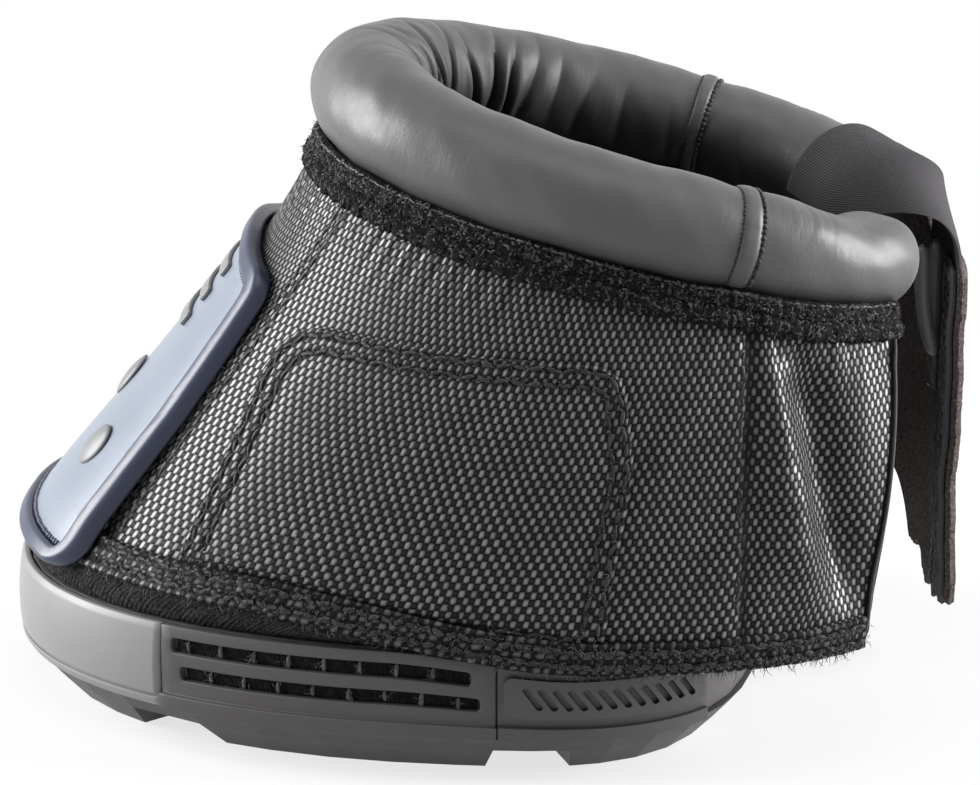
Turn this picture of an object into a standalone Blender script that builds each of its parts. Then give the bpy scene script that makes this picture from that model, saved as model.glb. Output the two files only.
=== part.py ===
"""Hoof boot: a moulded sole with a fabric upper, a padded collar, two opening rear wings
and a heel flap.

Metres, +Z up. The toe points to -X, the heel to +X, and the left side of the boot is -Y.
The origin lies on the ground face of the sole's centre pad. Every curved piece is laid out
by its turn, the angle around the boot: 0 at the toe, 90 degrees at the right side, and
180 degrees at the heel. Turns on the left side are negative.
"""
import math

import bmesh
import bpy
from mathutils import Vector

# Clearances
GAP = 0.0003
SEW_GAP = 0.0004
DOME_GAP = 0.0009

# Sole plan, at its widest level
SOLE_CENTRE_X = 0.020
SOLE_FRONT = 0.1025
SOLE_REAR = 0.0615
SOLE_HALF_WIDTH = 0.0715
SOLE_TOE_POWER = 2.2
SOLE_HEEL_POWER = 3.0

# Tread and lugs
LUG_DEPTH = 0.0055
TREAD_THICKNESS = 0.0035
TREAD_TOP_INSET = 0.0018
TREAD_BASE_INSET = 0.0045
LUG_FOOT_INSET = 0.0095
LUG_WIDTH = 0.0200
LUG_DRAFT = 0.0012
PAD_HALF_WIDTH = 0.0230
LUG_TURNS = ((14.0, 46.0), (57.0, 97.0), (112.0, 151.0))
LUG_END_DRAFT_TURN = 1.6

# Tray that holds the hoof
TRAY_FLOOR = 0.0027
TRAY_WALL = 0.0024
CLAD_THICKNESS = 0.0026
RIM_TOE_HEIGHT = 0.0275
RIM_HEEL_HEIGHT = 0.0235
RIM_DROP_START_X = 0.005
RIM_DROP_END_X = 0.045
TRAY_HEEL_HEIGHT = 0.0150
TRAY_HEEL_START_X = 0.066
TRAY_HEEL_END_X = 0.076
INSOLE_THICKNESS = 0.0040
INSOLE_CROWN = 0.0008

# Toe cap, side frames and heel panels clad the tray
TOE_CAP_END_X = -0.0430
SIDE_FRAME_END_X = 0.0280
HEEL_PANEL_END_X = 0.0700
TOE_CAP_BELLY = 0.0018
TOE_CAP_LEAN = 0.0006
FRAME_LIP = 0.0010
CHANNEL_DEPTH = 0.0015
CHANNEL_SHARES = (0.18, 0.22, 0.38, 0.42, 0.52, 0.55, 0.70, 0.73, 0.90, 0.94)
NOTCH_COUNT = 12
NOTCH_DEPTH = 0.0010
NOTCH_SLANT = 0.0040
NOTCH_FILL_SHARES = (0.20, 0.34, 0.62, 0.76)

# Upper: the hem is the lower edge, the seam its upper edge at the collar
HEM_CENTRE_X = 0.032
HEM_TOE_INSET = 0.0060
HEM_REAR = 0.0860
HEM_SIDE_OUT = 0.0005
HEM_TOE_POWER = 2.2
HEM_HEEL_POWER = 2.5
HEM_TOE_HEIGHT = 0.0340
HEM_HEEL_HEIGHT = 0.0250
HEM_DROP_START_X = -0.030
HEM_DROP_END_X = 0.050
SIDE_BULGE = 0.0030
TOE_HOLLOW = 0.0035
NYLON = 0.0017
LINING = 0.0018
SKIRT = 0.0015
PATCH = 0.0011
HEM_BAND = 0.0010
HEM_BAND_HEIGHT = 0.0058
BINDING = 0.0013
BINDING_HEIGHT = 0.0062
FRONT_SEAM_SHARE = 0.35
WING_SEAM_X = 0.0770
UPPER_TOP_SHARE = 0.972
SKIRT_TOP_SHARE = 0.11

# Rear wings
WING_EDGE_HEM_TURN = 138.0
WING_EDGE_SEAM_TURN = 147.0
WING_HINGE_LEAN = 0.0130
WING_HINGE_RISE = 0.0900
WING_HINGE_OUT = 0.0020
FOLD_START_TURN = 116.0
FOLD_DEPTH = 0.0034
FOLD_RIDGE = 0.0016
FOLD_WIDTH_SHARE = 0.17
VALLEY_SHARES = (0.95, 0.22)
RIDGE_SHARES = (0.62, -0.02)
FOLD_EASE_SHARES = (0.25, 0.04, 0.35, 0.05, 0.30)

# Collar
COLLAR_CENTRE_X = 0.0520
COLLAR_FRONT = 0.0570
COLLAR_REAR = 0.0535
COLLAR_HALF_WIDTH = 0.0470
COLLAR_TOE_POWER = 2.0
COLLAR_HEEL_POWER = 2.4
COLLAR_TOE_HEIGHT = 0.1280
COLLAR_SLOPE = 0.26
COLLAR_TOE_RADIUS = 0.0120
COLLAR_RADIUS = 0.0112
COLLAR_LEATHER = 0.0014
COLLAR_END_TURN = 150.0
COLLAR_DOME = 0.0085
COLLAR_WAIST = 0.0007
COLLAR_WAIST_LENGTH = 0.0060
SLOT_TOE_ANGLE = -40.0
SLOT_SIDE_ANGLE = -50.0
SLOT_OFFSET_ANGLE = 8.0
SLOT_HALF_ANGLE = 17.0
STRIP_WIDTH = 0.0030
STRIP_THICKNESS = 0.0009

# Toe shield, measured across the boot and in height
SHIELD_THICKNESS = 0.0022
SHIELD_RIM_WIDTH = 0.0034
SHIELD_RIM_HEIGHT = 0.0036
SHIELD_BOTTOM_HALF = 0.0430
SHIELD_MIDDLE_HALF = 0.0375
SHIELD_TOP_HALF = 0.0300
SHIELD_BOTTOM_HEIGHT = 0.0325
SHIELD_BOTTOM_SAG = 0.0020
SHIELD_MIDDLE_HEIGHT = 0.0640
SHIELD_SHOULDER_HEIGHT = 0.0925
SHIELD_TOP_HEIGHT = 0.1000
SHIELD_CORNER = 0.0070
STUD_RADIUS = 0.0042
STUD_DOME = 0.0016
STUD_PROFILE_SHARES = ((1.0, 0.0), (1.0, 0.35), (0.72, 0.8))
STUD_HEIGHTS = (0.0520, 0.0520, 0.0615)
STUD_ACROSS = (-0.0215, 0.0215, 0.0)
BAR_LENGTH = 0.0240
BAR_WIDTH = 0.0026
BAR_THICKNESS = 0.0009
BAR_HEIGHT_SHARES = (0.344, 0.504, 0.665)

# Side patch, measured along the boot and in height
PATCH_BOTTOM_FRONT_X = -0.0390
PATCH_TOP_FRONT_X = -0.0170
PATCH_TOP_REAR_X = 0.0525
PATCH_BELLY_REAR_X = 0.0550
PATCH_BOTTOM_REAR_X = 0.0490
PATCH_TOP_HEIGHT = 0.0880
PATCH_TOP_REAR_HEIGHT = 0.0855
PATCH_BELLY_HEIGHT = 0.0660
PATCH_FRONT_CORNER = 0.0170
PATCH_REAR_CORNER = 0.0080

# Heel flap and band
FLAP_THICKNESS = 0.0022
FLAP_REACH_X = 0.1195
FLAP_FREE_Y = 0.0015
FLAP_BEND_X = 0.1190
FLAP_BEND_Y = 0.0350
FLAP_TOP_HEIGHT = 0.0900
FLAP_TIP_HEIGHT = 0.0150
FLAP_HINGE_BOTTOM_HEIGHT = 0.0330
FLAP_HINGE_LOW_OUT = 0.0024
FLAP_HINGE_TOP_OUT = 0.0040
FLAP_RAG = 0.0030
FLAP_RAG_WAVES = 9
FLAP_START_SHARE = 0.035
EDGE_TAPE_SHARES = (0.74, 0.985)
EDGE_TAPE = 0.0011
BAND_REACH_SHARES = (1.0, 0.42)
BAND_INNER_ANGLE = 188.0
BAND_OUTER_ANGLE = 6.0
BAND_THICKNESS = 0.0013
BAND_START_TURN = 134.0
BAND_LEAD_TURN = 8.0
BAND_DRAPE_PULL = 0.0300
BAND_DROP_PULL = 0.0420
ROLL_WIDTH = 0.0042
ROLL_DEPTH = 0.0032
ROLL_RUN_SHARES = (0.97, 0.62)
ROLL_ACROSS_SHARES = (0.07, 0.21)
TAB_WIDTH = 0.0042
TAB_THICKNESS = 0.0018
TAB_LENGTH = 0.0110
TAB_TOP_HEIGHT = 0.0780
TAB_SHARE = 0.62
HOOK_TAPE_THICKNESS = 0.0014
HOOK_TAPE_REACH_TURN = 2.6
HOOK_TAPE_ROOT_SHARE = 0.70
HOOK_TAPE_RISE_SHARES = (0.01, 0.90)

# Facets
PLAN_STEPS = 44
UPPER_COLUMNS = 40
UPPER_ROWS = 6
WING_COLUMNS = 8
WING_ROWS = 9
COLLAR_STATIONS = 34
COLLAR_WING_STATIONS = 8
COLLAR_SIDES = 10
CLAD_COLUMNS = 14
FLAP_COLUMNS = 12
FLAP_ROWS = 8
BAND_COLUMNS = 12
BAND_ROWS = 9
CORNER_STEPS = 4
FAN_RINGS = 4
ROLL_STATIONS = 6
ROLL_SIDES = 8
ROLL_END_EASE = 0.1
STEP_SHARE = 0.02
STUD_SIDES = 14
STEP_TURN = 1e-3
SOLVE_STEPS = 28

LEFT = -1
RIGHT = 1
UP = Vector((0, 0, 1))


# Plan curves

class Plan:
    """An egg-shaped plan curve with its own length to the toe and to the heel."""

    def __init__(self, centre_x, front, rear, half_width, toe_power, heel_power):
        self.centre_x = centre_x
        self.front = front
        self.rear = rear
        self.half_width = half_width
        self.toe_power = toe_power
        self.heel_power = heel_power

    def at(self, turn, inset=0.0):
        c, s = math.cos(turn), math.sin(turn)
        length = self.front if c >= 0 else self.rear
        power = self.toe_power if c >= 0 else self.heel_power
        reach = (abs(c) ** power + abs(s) ** power) ** (-1 / power)
        x = self.centre_x - (length - inset) * c * reach
        return x, (self.half_width - inset) * s * reach


HEM_FRONT = HEM_CENTRE_X - SOLE_CENTRE_X + SOLE_FRONT - HEM_TOE_INSET
HEM_HALF_WIDTH = SOLE_HALF_WIDTH + HEM_SIDE_OUT
SOLE = Plan(SOLE_CENTRE_X, SOLE_FRONT, SOLE_REAR, SOLE_HALF_WIDTH, SOLE_TOE_POWER, SOLE_HEEL_POWER)
HEM = Plan(HEM_CENTRE_X, HEM_FRONT, HEM_REAR, HEM_HALF_WIDTH, HEM_TOE_POWER, HEM_HEEL_POWER)
COLLAR = Plan(COLLAR_CENTRE_X, COLLAR_FRONT, COLLAR_REAR, COLLAR_HALF_WIDTH,
              COLLAR_TOE_POWER, COLLAR_HEEL_POWER)


def mix(a, b, share):
    return a + (b - a) * share


def smooth(value, start, end):
    share = min(1, max(0, (value - start) / (end - start)))
    return share * share * (3 - 2 * share)


def bell(value, width):
    return math.exp(-(value / width) ** 2)


def circle(sides):
    return [2 * math.pi * i / sides for i in range(sides)]


def solve(function, low, high):
    """The argument where a rising function crosses zero."""
    for _ in range(SOLVE_STEPS):
        middle = (low + high) / 2
        if function(middle) < 0:
            low = middle
        else:
            high = middle
    return (low + high) / 2


# Levels of the sole

TREAD_TOP = LUG_DEPTH + TREAD_THICKNESS
TRAY_BOTTOM = TREAD_TOP + GAP
FLOOR_TOP = TRAY_BOTTOM + TRAY_FLOOR
TRAY_OUTER_INSET = CLAD_THICKNESS + GAP
TRAY_INNER_INSET = TRAY_OUTER_INSET + TRAY_WALL


def rim_height(x):
    return mix(RIM_TOE_HEIGHT, RIM_HEEL_HEIGHT, smooth(x, RIM_DROP_START_X, RIM_DROP_END_X))


def tray_height(x):
    return mix(rim_height(x), TRAY_HEEL_HEIGHT, smooth(x, TRAY_HEEL_START_X, TRAY_HEEL_END_X))


def sole_point(turn, inset, height):
    x, y = SOLE.at(turn, inset)
    return Vector((x, y, height))


def sole_turn_at(x, inset):
    return solve(lambda turn: SOLE.at(turn, inset)[0] - x, 0, math.pi)


# The collar's centre line and the wall that hangs from it

def collar_centre(turn):
    x, y = COLLAR.at(turn)
    toe_x = COLLAR_CENTRE_X - COLLAR_FRONT
    return Vector((x, y, COLLAR_TOE_HEIGHT - COLLAR_SLOPE * (x - toe_x)))


def collar_along(turn):
    ahead = collar_centre(turn + STEP_TURN) - collar_centre(turn - STEP_TURN)
    return ahead.normalized()


def collar_outward(turn):
    """Level direction away from the boot's inside, square to the centre line."""
    along = collar_along(turn)
    return Vector((-along.y, along.x, 0)).normalized()


def collar_radius(turn):
    side = smooth(abs(turn), math.radians(20), math.radians(80))
    radius = mix(COLLAR_TOE_RADIUS, COLLAR_RADIUS, side)
    from_seam = collar_centre(turn).x - WING_SEAM_X
    return radius - COLLAR_WAIST * bell(from_seam, COLLAR_WAIST_LENGTH)


def slot_angle(turn):
    side = smooth(abs(turn), math.radians(10), math.radians(70))
    return math.radians(mix(SLOT_TOE_ANGLE, SLOT_SIDE_ANGLE, side))


def collar_point(turn, angle, radius):
    """A point round the collar: angle 0 points outwards and 90 degrees points up."""
    across = collar_outward(turn)
    above = across.cross(collar_along(turn))
    above = above if above.z > 0 else -above
    level = across * math.cos(angle) + above * math.sin(angle)
    return collar_centre(turn) + level * radius


def hem_height(x):
    return mix(HEM_TOE_HEIGHT, HEM_HEEL_HEIGHT, smooth(x, HEM_DROP_START_X, HEM_DROP_END_X))


def hem_point(turn):
    x, y = HEM.at(turn)
    return Vector((x, y, hem_height(x)))


def seam_point(turn):
    return collar_point(turn, slot_angle(turn), collar_radius(turn))


def wing_edge_turn(rise):
    return math.radians(mix(WING_EDGE_HEM_TURN, WING_EDGE_SEAM_TURN, rise))


def fold(turn, rise):
    """Depth of the slack folds that cross each rear wing."""
    start = math.radians(FOLD_START_TURN)
    along = (abs(turn) - start) / (wing_edge_turn(rise) - start)
    valley = bell(along - mix(*VALLEY_SHARES, rise), FOLD_WIDTH_SHARE)
    ridge = bell(along - mix(*RIDGE_SHARES, rise), FOLD_WIDTH_SHARE)
    front, foot_start, foot_end, head_start, head_end = FOLD_EASE_SHARES
    ends = smooth(along, 0, front) * smooth(rise, foot_start, foot_end)
    ends *= smooth(1 - rise, head_start, head_end)
    return (FOLD_RIDGE * ridge - FOLD_DEPTH * valley) * ends


def wall_base(turn, rise):
    """The upper's outer face: rise 0 at the hem and 1 at the collar seam."""
    point = hem_point(turn).lerp(seam_point(turn), rise)
    toe = max(0, math.cos(turn)) ** 2
    hump = 4 * rise * (1 - rise)
    bulge = SIDE_BULGE * hump * (1 - toe)
    hollow = TOE_HOLLOW * toe * math.sin(math.pi * min(1, max(0, rise)) ** 2)
    out = bulge - hollow + fold(turn, rise)
    return point + Vector((-math.cos(turn), math.sin(turn), 0)) * out


def wall(turn, rise, proud=0.0):
    """A point at a distance proud of the upper's outer face."""
    point = wall_base(turn, rise)
    if not proud:
        return point
    around = wall_base(turn + STEP_TURN, rise) - wall_base(turn - STEP_TURN, rise)
    up = wall_base(turn, rise + STEP_TURN) - wall_base(turn, rise - STEP_TURN)
    normal = up.cross(around).normalized()
    return point + normal * proud


def wall_turn_at_x(x, rise, proud):
    return solve(lambda turn: wall(turn, rise, proud).x - x, math.radians(20), math.radians(170))


def rise_at(turn, height):
    low, high = hem_point(turn).z, seam_point(turn).z
    return (height - low) / (high - low)


def front_point(across, height, proud):
    """A point of the toe, given its place across the boot and its height."""
    side = 1 if across >= 0 else -1

    def off(turn):
        return abs(wall(turn, rise_at(turn, height), proud).y) - abs(across)
    turn = solve(off, 0, math.radians(110))
    return wall(side * turn, rise_at(turn, height), proud)


def side_point(x, height, proud, side):
    """A point of one side, given its place along the boot and its height."""
    turn = solve(lambda t: wall(t, rise_at(t, height), proud).x - x, 0, math.radians(170))
    return wall(side * turn, rise_at(turn, height), proud)


# Mesh helpers

def material(name, colour, roughness, metallic=0.0):
    made = bpy.data.materials.get(name) or bpy.data.materials.new(name)
    made.use_nodes = True
    shader = made.node_tree.nodes["Principled BSDF"]
    shader.inputs["Base Color"].default_value = (*colour, 1)
    shader.inputs["Roughness"].default_value = roughness
    shader.inputs["Metallic"].default_value = metallic
    return made


def finish_object(name, bm, finish, parent=None):
    """Makes the object, with its faces pointing out, under its joint's empty."""
    bmesh.ops.remove_doubles(bm, verts=bm.verts, dist=GAP / 100)
    bmesh.ops.recalc_face_normals(bm, faces=bm.faces)
    mesh = bpy.data.meshes.new(name)
    bm.to_mesh(mesh)
    bm.free()
    mesh.shade_smooth()
    mesh.set_sharp_from_angle(angle=math.radians(40))
    mesh.materials.append(finish)
    made = bpy.data.objects.new(name, mesh)
    bpy.context.collection.objects.link(made)
    if parent is not None:
        made.parent = parent
        made.matrix_parent_inverse = parent.matrix_world.inverted()
    return made


def slab(name, place, columns, rows, finish, parent=None):
    """A sheet with a thickness. place(along, up, face) gives its points, and face 0 is inside."""
    bm = bmesh.new()
    grid = [[[bm.verts.new(place(i / columns, j / rows, face)) for i in range(columns + 1)]
             for j in range(rows + 1)] for face in (0, 1)]
    for j in range(rows):
        for i in range(columns):
            for face in (0, 1):
                row, above = grid[face][j], grid[face][j + 1]
                bm.faces.new((row[i], row[i + 1], above[i + 1], above[i]))
    for i in range(columns):
        for j in (0, rows):
            inner, outer = grid[0][j], grid[1][j]
            bm.faces.new((inner[i], inner[i + 1], outer[i + 1], outer[i]))
    for j in range(rows):
        for i in (0, columns):
            bm.faces.new((grid[0][j][i], grid[0][j + 1][i], grid[1][j + 1][i], grid[1][j][i]))
    return finish_object(name, bm, finish, parent)


def sweep(name, sections, finish, parent=None, closed=False):
    """A solid through closed sections, each a list of the same number of points."""
    bm = bmesh.new()
    loops = [[bm.verts.new(point) for point in section] for section in sections]
    pairs = list(zip(loops, loops[1:] + loops[:1] if closed else loops[1:]))
    for loop, ahead in pairs:
        for i in range(len(loop)):
            k = (i + 1) % len(loop)
            bm.faces.new((loop[i], loop[k], ahead[k], ahead[i]))
    if not closed:
        bm.faces.new(loops[0])
        bm.faces.new(loops[-1])
    return finish_object(name, bm, finish, parent)


def fan_plate(name, outline, place, finish, parent=None, rings=FAN_RINGS, crown=0.0):
    """A plate inside a flat outline, laid on a surface by place(x, y, face)."""
    bm = bmesh.new()
    count = len(outline)
    middle_x = sum(x for x, _ in outline) / count
    middle_y = sum(y for _, y in outline) / count
    faces = []
    for face in (0, 1):
        centre = bm.verts.new(place(middle_x, middle_y, face))
        loops = []
        for ring in range(1, rings + 1):
            share = ring / rings
            loops.append([bm.verts.new(place(mix(middle_x, x, share), mix(middle_y, y, share), face))
                          for x, y in outline])
        faces.append(loops[-1])
        for i in range(count):
            k = (i + 1) % count
            bm.faces.new((centre, loops[0][i], loops[0][k]))
            for inner, outer in zip(loops, loops[1:]):
                bm.faces.new((inner[i], outer[i], outer[k], inner[k]))
    for i in range(count):
        k = (i + 1) % count
        bm.faces.new((faces[0][i], faces[0][k], faces[1][k], faces[1][i]))
    return finish_object(name, bm, finish, parent)


def rounded(corners):
    """An outline through corners, each (x, y, radius), with its corners rounded."""
    outline = []
    count = len(corners)
    for i, (x, y, radius) in enumerate(corners):
        here = Vector((x, y))
        before = Vector(corners[i - 1][:2]) - here
        after = Vector(corners[(i + 1) % count][:2]) - here
        if not radius:
            outline.append((x, y))
            continue
        half = before.angle(after) / 2
        cut = min(radius / math.tan(half), before.length / 2, after.length / 2)
        start = here + before.normalized() * cut
        end = here + after.normalized() * cut
        for step in range(CORNER_STEPS + 1):
            share = step / CORNER_STEPS
            point = start.lerp(here, share).lerp(here.lerp(end, share), share)
            outline.append((point.x, point.y))
    return outline


# Sole

def tread(finish):
    """The rubber tread: a plate with lugs round its edge and a pad at its middle."""
    bm = bmesh.new()
    turns = sorted({math.radians(t * side) for pair in LUG_TURNS for t in pair for side in (LEFT, RIGHT)}
                   | {math.radians(t) for t in spare_turns()})
    pad_inset = SOLE_HALF_WIDTH - PAD_HALF_WIDTH
    insets = (TREAD_BASE_INSET, TREAD_BASE_INSET + LUG_WIDTH, pad_inset)
    rings = [[bm.verts.new(sole_point(t, inset, LUG_DEPTH)) for t in turns] for inset in insets]
    top = [bm.verts.new(sole_point(t, TREAD_TOP_INSET, TREAD_TOP)) for t in turns]
    count = len(turns)
    edge_cells = []
    for i in range(count):
        k = (i + 1) % count
        edge_cells.append(bm.faces.new((rings[0][i], rings[0][k], rings[1][k], rings[1][i])))
        bm.faces.new((rings[1][i], rings[1][k], rings[2][k], rings[2][i]))
        bm.faces.new((rings[0][i], top[i], top[k], rings[0][k]))
    bm.faces.new(top)
    pad = [bm.verts.new(sole_point(t, pad_inset + LUG_DRAFT, 0)) for t in turns]
    for i in range(count):
        k = (i + 1) % count
        bm.faces.new((rings[2][i], rings[2][k], pad[k], pad[i]))
    bm.faces.new(pad)
    for start, end in LUG_TURNS:
        for side in (LEFT, RIGHT):
            add_lug(bm, turns, rings, edge_cells, math.radians(start), math.radians(end), side)
    return finish_object("tread", bm, finish)


def spare_turns():
    """Turns between the lugs' ends, so that the tread's edge stays round."""
    ends = [0.0] + [t for pair in LUG_TURNS for t in pair] + [180.0]
    spare = [0.0, 180.0]
    for start, end in zip(ends, ends[1:]):
        steps = max(1, round((end - start) / (360 / PLAN_STEPS)))
        for step in range(1, steps):
            spare.append(mix(start, end, step / steps))
            spare.append(-mix(start, end, step / steps))
    return spare


def add_lug(bm, turns, rings, edge_cells, start, end, side):
    """Replaces the plate's lower face between two turns by a lug with drafted walls."""
    low, high = (start, end) if side == RIGHT else (-end, -start)
    inside = [i for i, t in enumerate(turns) if low - STEP_TURN <= t <= high + STEP_TURN]
    draft = math.radians(LUG_END_DRAFT_TURN)
    foot = []
    for inset in (LUG_FOOT_INSET, TREAD_BASE_INSET + LUG_WIDTH - LUG_DRAFT):
        row = []
        for i in inside:
            turn = min(high - draft, max(low + draft, turns[i]))
            row.append(bm.verts.new(sole_point(turn, inset, 0)))
        foot.append(row)
    for a in range(len(inside) - 1):
        i, k = inside[a], inside[a + 1]
        bm.faces.remove(edge_cells[i])
        bm.faces.new((foot[0][a], foot[0][a + 1], foot[1][a + 1], foot[1][a]))
        bm.faces.new((rings[0][i], rings[0][k], foot[0][a + 1], foot[0][a]))
        bm.faces.new((rings[1][i], rings[1][k], foot[1][a + 1], foot[1][a]))
    for a in (0, len(inside) - 1):
        i = inside[a]
        bm.faces.new((rings[0][i], rings[1][i], foot[1][a], foot[0][a]))


def plan_turns(count=PLAN_STEPS):
    return [mix(-math.pi, math.pi, i / count) for i in range(count)]


def tray(finish):
    """The moulded tray: a floor with a wall that drops at the open heel."""
    bm = bmesh.new()
    levels = []
    for t in plan_turns():
        x, _ = SOLE.at(t, TRAY_OUTER_INSET)
        height = tray_height(x)
        levels.append((sole_point(t, TRAY_OUTER_INSET, TRAY_BOTTOM),
                       sole_point(t, TRAY_OUTER_INSET, height),
                       sole_point(t, TRAY_INNER_INSET, height),
                       sole_point(t, TRAY_INNER_INSET, FLOOR_TOP)))
    loops = [[bm.verts.new(points[level]) for points in levels] for level in range(4)]
    for lower, upper in zip(loops, loops[1:]):
        for i in range(len(lower)):
            k = (i + 1) % len(lower)
            bm.faces.new((lower[i], lower[k], upper[k], upper[i]))
    bm.faces.new(loops[0])
    bm.faces.new(loops[-1])
    return finish_object("sole_tray", bm, finish)


def insole(finish):
    """The foam pad on the tray's floor, slightly crowned."""
    inset = TRAY_INNER_INSET + GAP + SKIRT + GAP
    outline = [SOLE.at(t, inset) for t in plan_turns(PLAN_STEPS)]
    base = FLOOR_TOP + GAP

    def place(x, y, face):
        reach_x = (x - SOLE_CENTRE_X) / (SOLE_FRONT if x < SOLE_CENTRE_X else SOLE_REAR)
        reach = min(1, math.hypot(reach_x, y / SOLE_HALF_WIDTH))
        height = INSOLE_THICKNESS + INSOLE_CROWN * (1 - reach * reach)
        return Vector((x, y, base + face * height))
    return fan_plate("insole_pad", outline, place, finish, rings=3)


def clad_height(share, x):
    return mix(TRAY_BOTTOM, rim_height(x), share)


def clad_sections(profile, start_turn, end_turn, columns):
    """Sections round the tray from (proud, height share) points and a flat back."""
    sections = []
    for i in range(columns + 1):
        turn = mix(start_turn, end_turn, i / columns)
        x, _ = SOLE.at(turn, CLAD_THICKNESS)
        section = [sole_point(turn, CLAD_THICKNESS - proud, clad_height(share, x))
                   for proud, share in profile]
        section.append(sole_point(turn, CLAD_THICKNESS, clad_height(1, x)))
        section.append(sole_point(turn, CLAD_THICKNESS, clad_height(0, x)))
        sections.append(section)
    return sections


def toe_cap(finish):
    """The plain moulded wall round the toe."""
    turn = sole_turn_at(TOE_CAP_END_X, 0)
    face = CLAD_THICKNESS
    profile = [(face - TOE_CAP_BELLY, 0), (face - TOE_CAP_LEAN, 0.22), (face, 0.5),
               (face - TOE_CAP_LEAN, 0.8), (face - TOE_CAP_BELLY, 0.97), (face / 2, 1)]
    return sweep("toe_cap", clad_sections(profile, -turn, turn, CLAD_COLUMNS + 4), finish)


def frame_profile():
    """A side frame's face: a lip at its foot and two channels between three rails."""
    face = CLAD_THICKNESS - FRAME_LIP
    deep = face - CHANNEL_DEPTH
    lip_top, rail, in_1, low_1, high_1, out_1, in_2, low_2, high_2, out_2 = CHANNEL_SHARES
    return [(CLAD_THICKNESS - FRAME_LIP / 2, 0), (CLAD_THICKNESS, lip_top / 2),
            (CLAD_THICKNESS, lip_top), (face, rail), (face, in_1), (deep, low_1),
            (deep, high_1), (face, out_1), (face, in_2), (deep, low_2),
            (deep, high_2), (face, out_2), (face - FRAME_LIP / 2, 1)]


def side_frame(name, side, finish):
    """The frame with two stitch channels on one side of the sole."""
    gap_turn = GAP / SOLE_HALF_WIDTH
    start = sole_turn_at(TOE_CAP_END_X, 0) + gap_turn
    end = sole_turn_at(SIDE_FRAME_END_X, 0)
    return sweep(name, clad_sections(frame_profile(), side * start, side * end, CLAD_COLUMNS - 2), finish)


def heel_panel(name, side, finish):
    """The raised panel behind a side frame, with slanted notches and the same lip."""
    start_x = SIDE_FRAME_END_X + GAP
    length = HEEL_PANEL_END_X - start_x
    marks = [0.0]
    for i in range(NOTCH_COUNT):
        marks += [(i + share) / NOTCH_COUNT for share in NOTCH_FILL_SHARES]
    marks.append(1.0)
    levels = (0.0, 0.16, 0.24, 0.34, 0.46, 0.80, 0.92, 1.0)
    sections = []
    for number, mark in enumerate(marks):
        notched = 0 < number < len(marks) - 1 and (number - 1) % 4 in (1, 2)
        taper = smooth(min(mark, 1 - mark), 0, 0.03)
        section = []
        for row, level in enumerate(levels):
            middle = smooth(level, 0.3, 0.46) * smooth(1 - level, 0.08, 0.2)
            slant = NOTCH_SLANT * (level - 0.6) * middle * taper
            x = start_x + mark * length + slant
            turn = side * sole_turn_at(x, 0)
            proud = CLAD_THICKNESS - (FRAME_LIP if row > 1 else 0)
            if 3 < row < 6:
                proud += FRAME_LIP * 0.6
                proud -= NOTCH_DEPTH if notched else 0
            section.append(sole_point(turn, CLAD_THICKNESS - proud, clad_height(level, x)))
        x = start_x + mark * length
        turn = side * sole_turn_at(x, 0)
        section.append(sole_point(turn, CLAD_THICKNESS, clad_height(1, x)))
        section.append(sole_point(turn, CLAD_THICKNESS, clad_height(0, x)))
        sections.append(section)
    return sweep(name, sections, finish)


# Upper

def front_turn(along, rise, proud):
    """Turn of a point of the upper's front body, between the two wing seams."""
    reach = wall_turn_at_x(WING_SEAM_X - GAP / 2, rise, proud)
    return mix(-reach, reach, along)


def wing_turn(along, rise, proud, side):
    start = wall_turn_at_x(WING_SEAM_X + GAP / 2, rise, proud)
    return side * mix(start, wing_edge_turn(rise), along)


def upper_height(turn):
    return seam_point(turn).z - hem_point(turn).z


def whole(up, turn):
    """Rise of a layer that covers the upper from the hem to the collar."""
    return UPPER_TOP_SHARE * up


def foot(up, turn):
    """Rise of the band along the hem."""
    return up * HEM_BAND_HEIGHT / upper_height(turn)


def head(up, turn):
    """Rise of the binding under the collar."""
    return UPPER_TOP_SHARE - (1 - up) * BINDING_HEIGHT / upper_height(turn)


def front_layer(name, span, strip, prouds, columns, rows, finish):
    """A layer of the front body. span holds shares of the way from left to right seam."""
    trim = SEW_GAP / (2 * math.pi * HEM_HALF_WIDTH)
    start = span[0] + (trim if span[0] > 0 else 0)
    end = span[1] - (trim if span[1] < 1 else 0)
    reach = wall_turn_at_x(WING_SEAM_X, 0, 0)

    def place(along, up, face):
        share = mix(start, end, along)
        rise = strip(up, mix(-reach, reach, share))
        turn = front_turn(share, rise, prouds[face])
        return wall(turn, rise, prouds[face])
    return slab(name, place, columns, rows, finish)


def wing_layer(name, side, strip, prouds, rows, finish, parent):
    reach = wall_turn_at_x(WING_SEAM_X, 0, 0)

    def place(along, up, face):
        rise = strip(up, mix(reach, wing_edge_turn(0), along))
        return wall(wing_turn(along, rise, prouds[face], side), rise, prouds[face])
    return slab(name, place, WING_COLUMNS, rows, finish, parent)


def lining_prouds():
    return -NYLON - GAP - LINING, -NYLON - GAP


def skirt(finish):
    """The fabric skirt that joins the upper to the inside of the tray."""
    reach = math.radians(106)
    inner_proud, outer_proud = lining_prouds()
    top = inner_proud - DOME_GAP

    def place(along, up, face):
        turn = mix(-reach, reach, along)
        inset = TRAY_INNER_INSET + GAP + (0 if face else SKIRT)
        x, _ = SOLE.at(turn, inset)
        if up < 0.3:
            return sole_point(turn, inset, FLOOR_TOP + GAP)
        if up < 0.6:
            return sole_point(turn, inset, rim_height(x) + GAP)
        rise = mix(0, SKIRT_TOP_SHARE, (up - 0.5) * 2)
        return wall(turn, rise, top if face else top - SKIRT)
    return slab("sole_skirt", place, UPPER_COLUMNS - 6, 4, finish)


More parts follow.
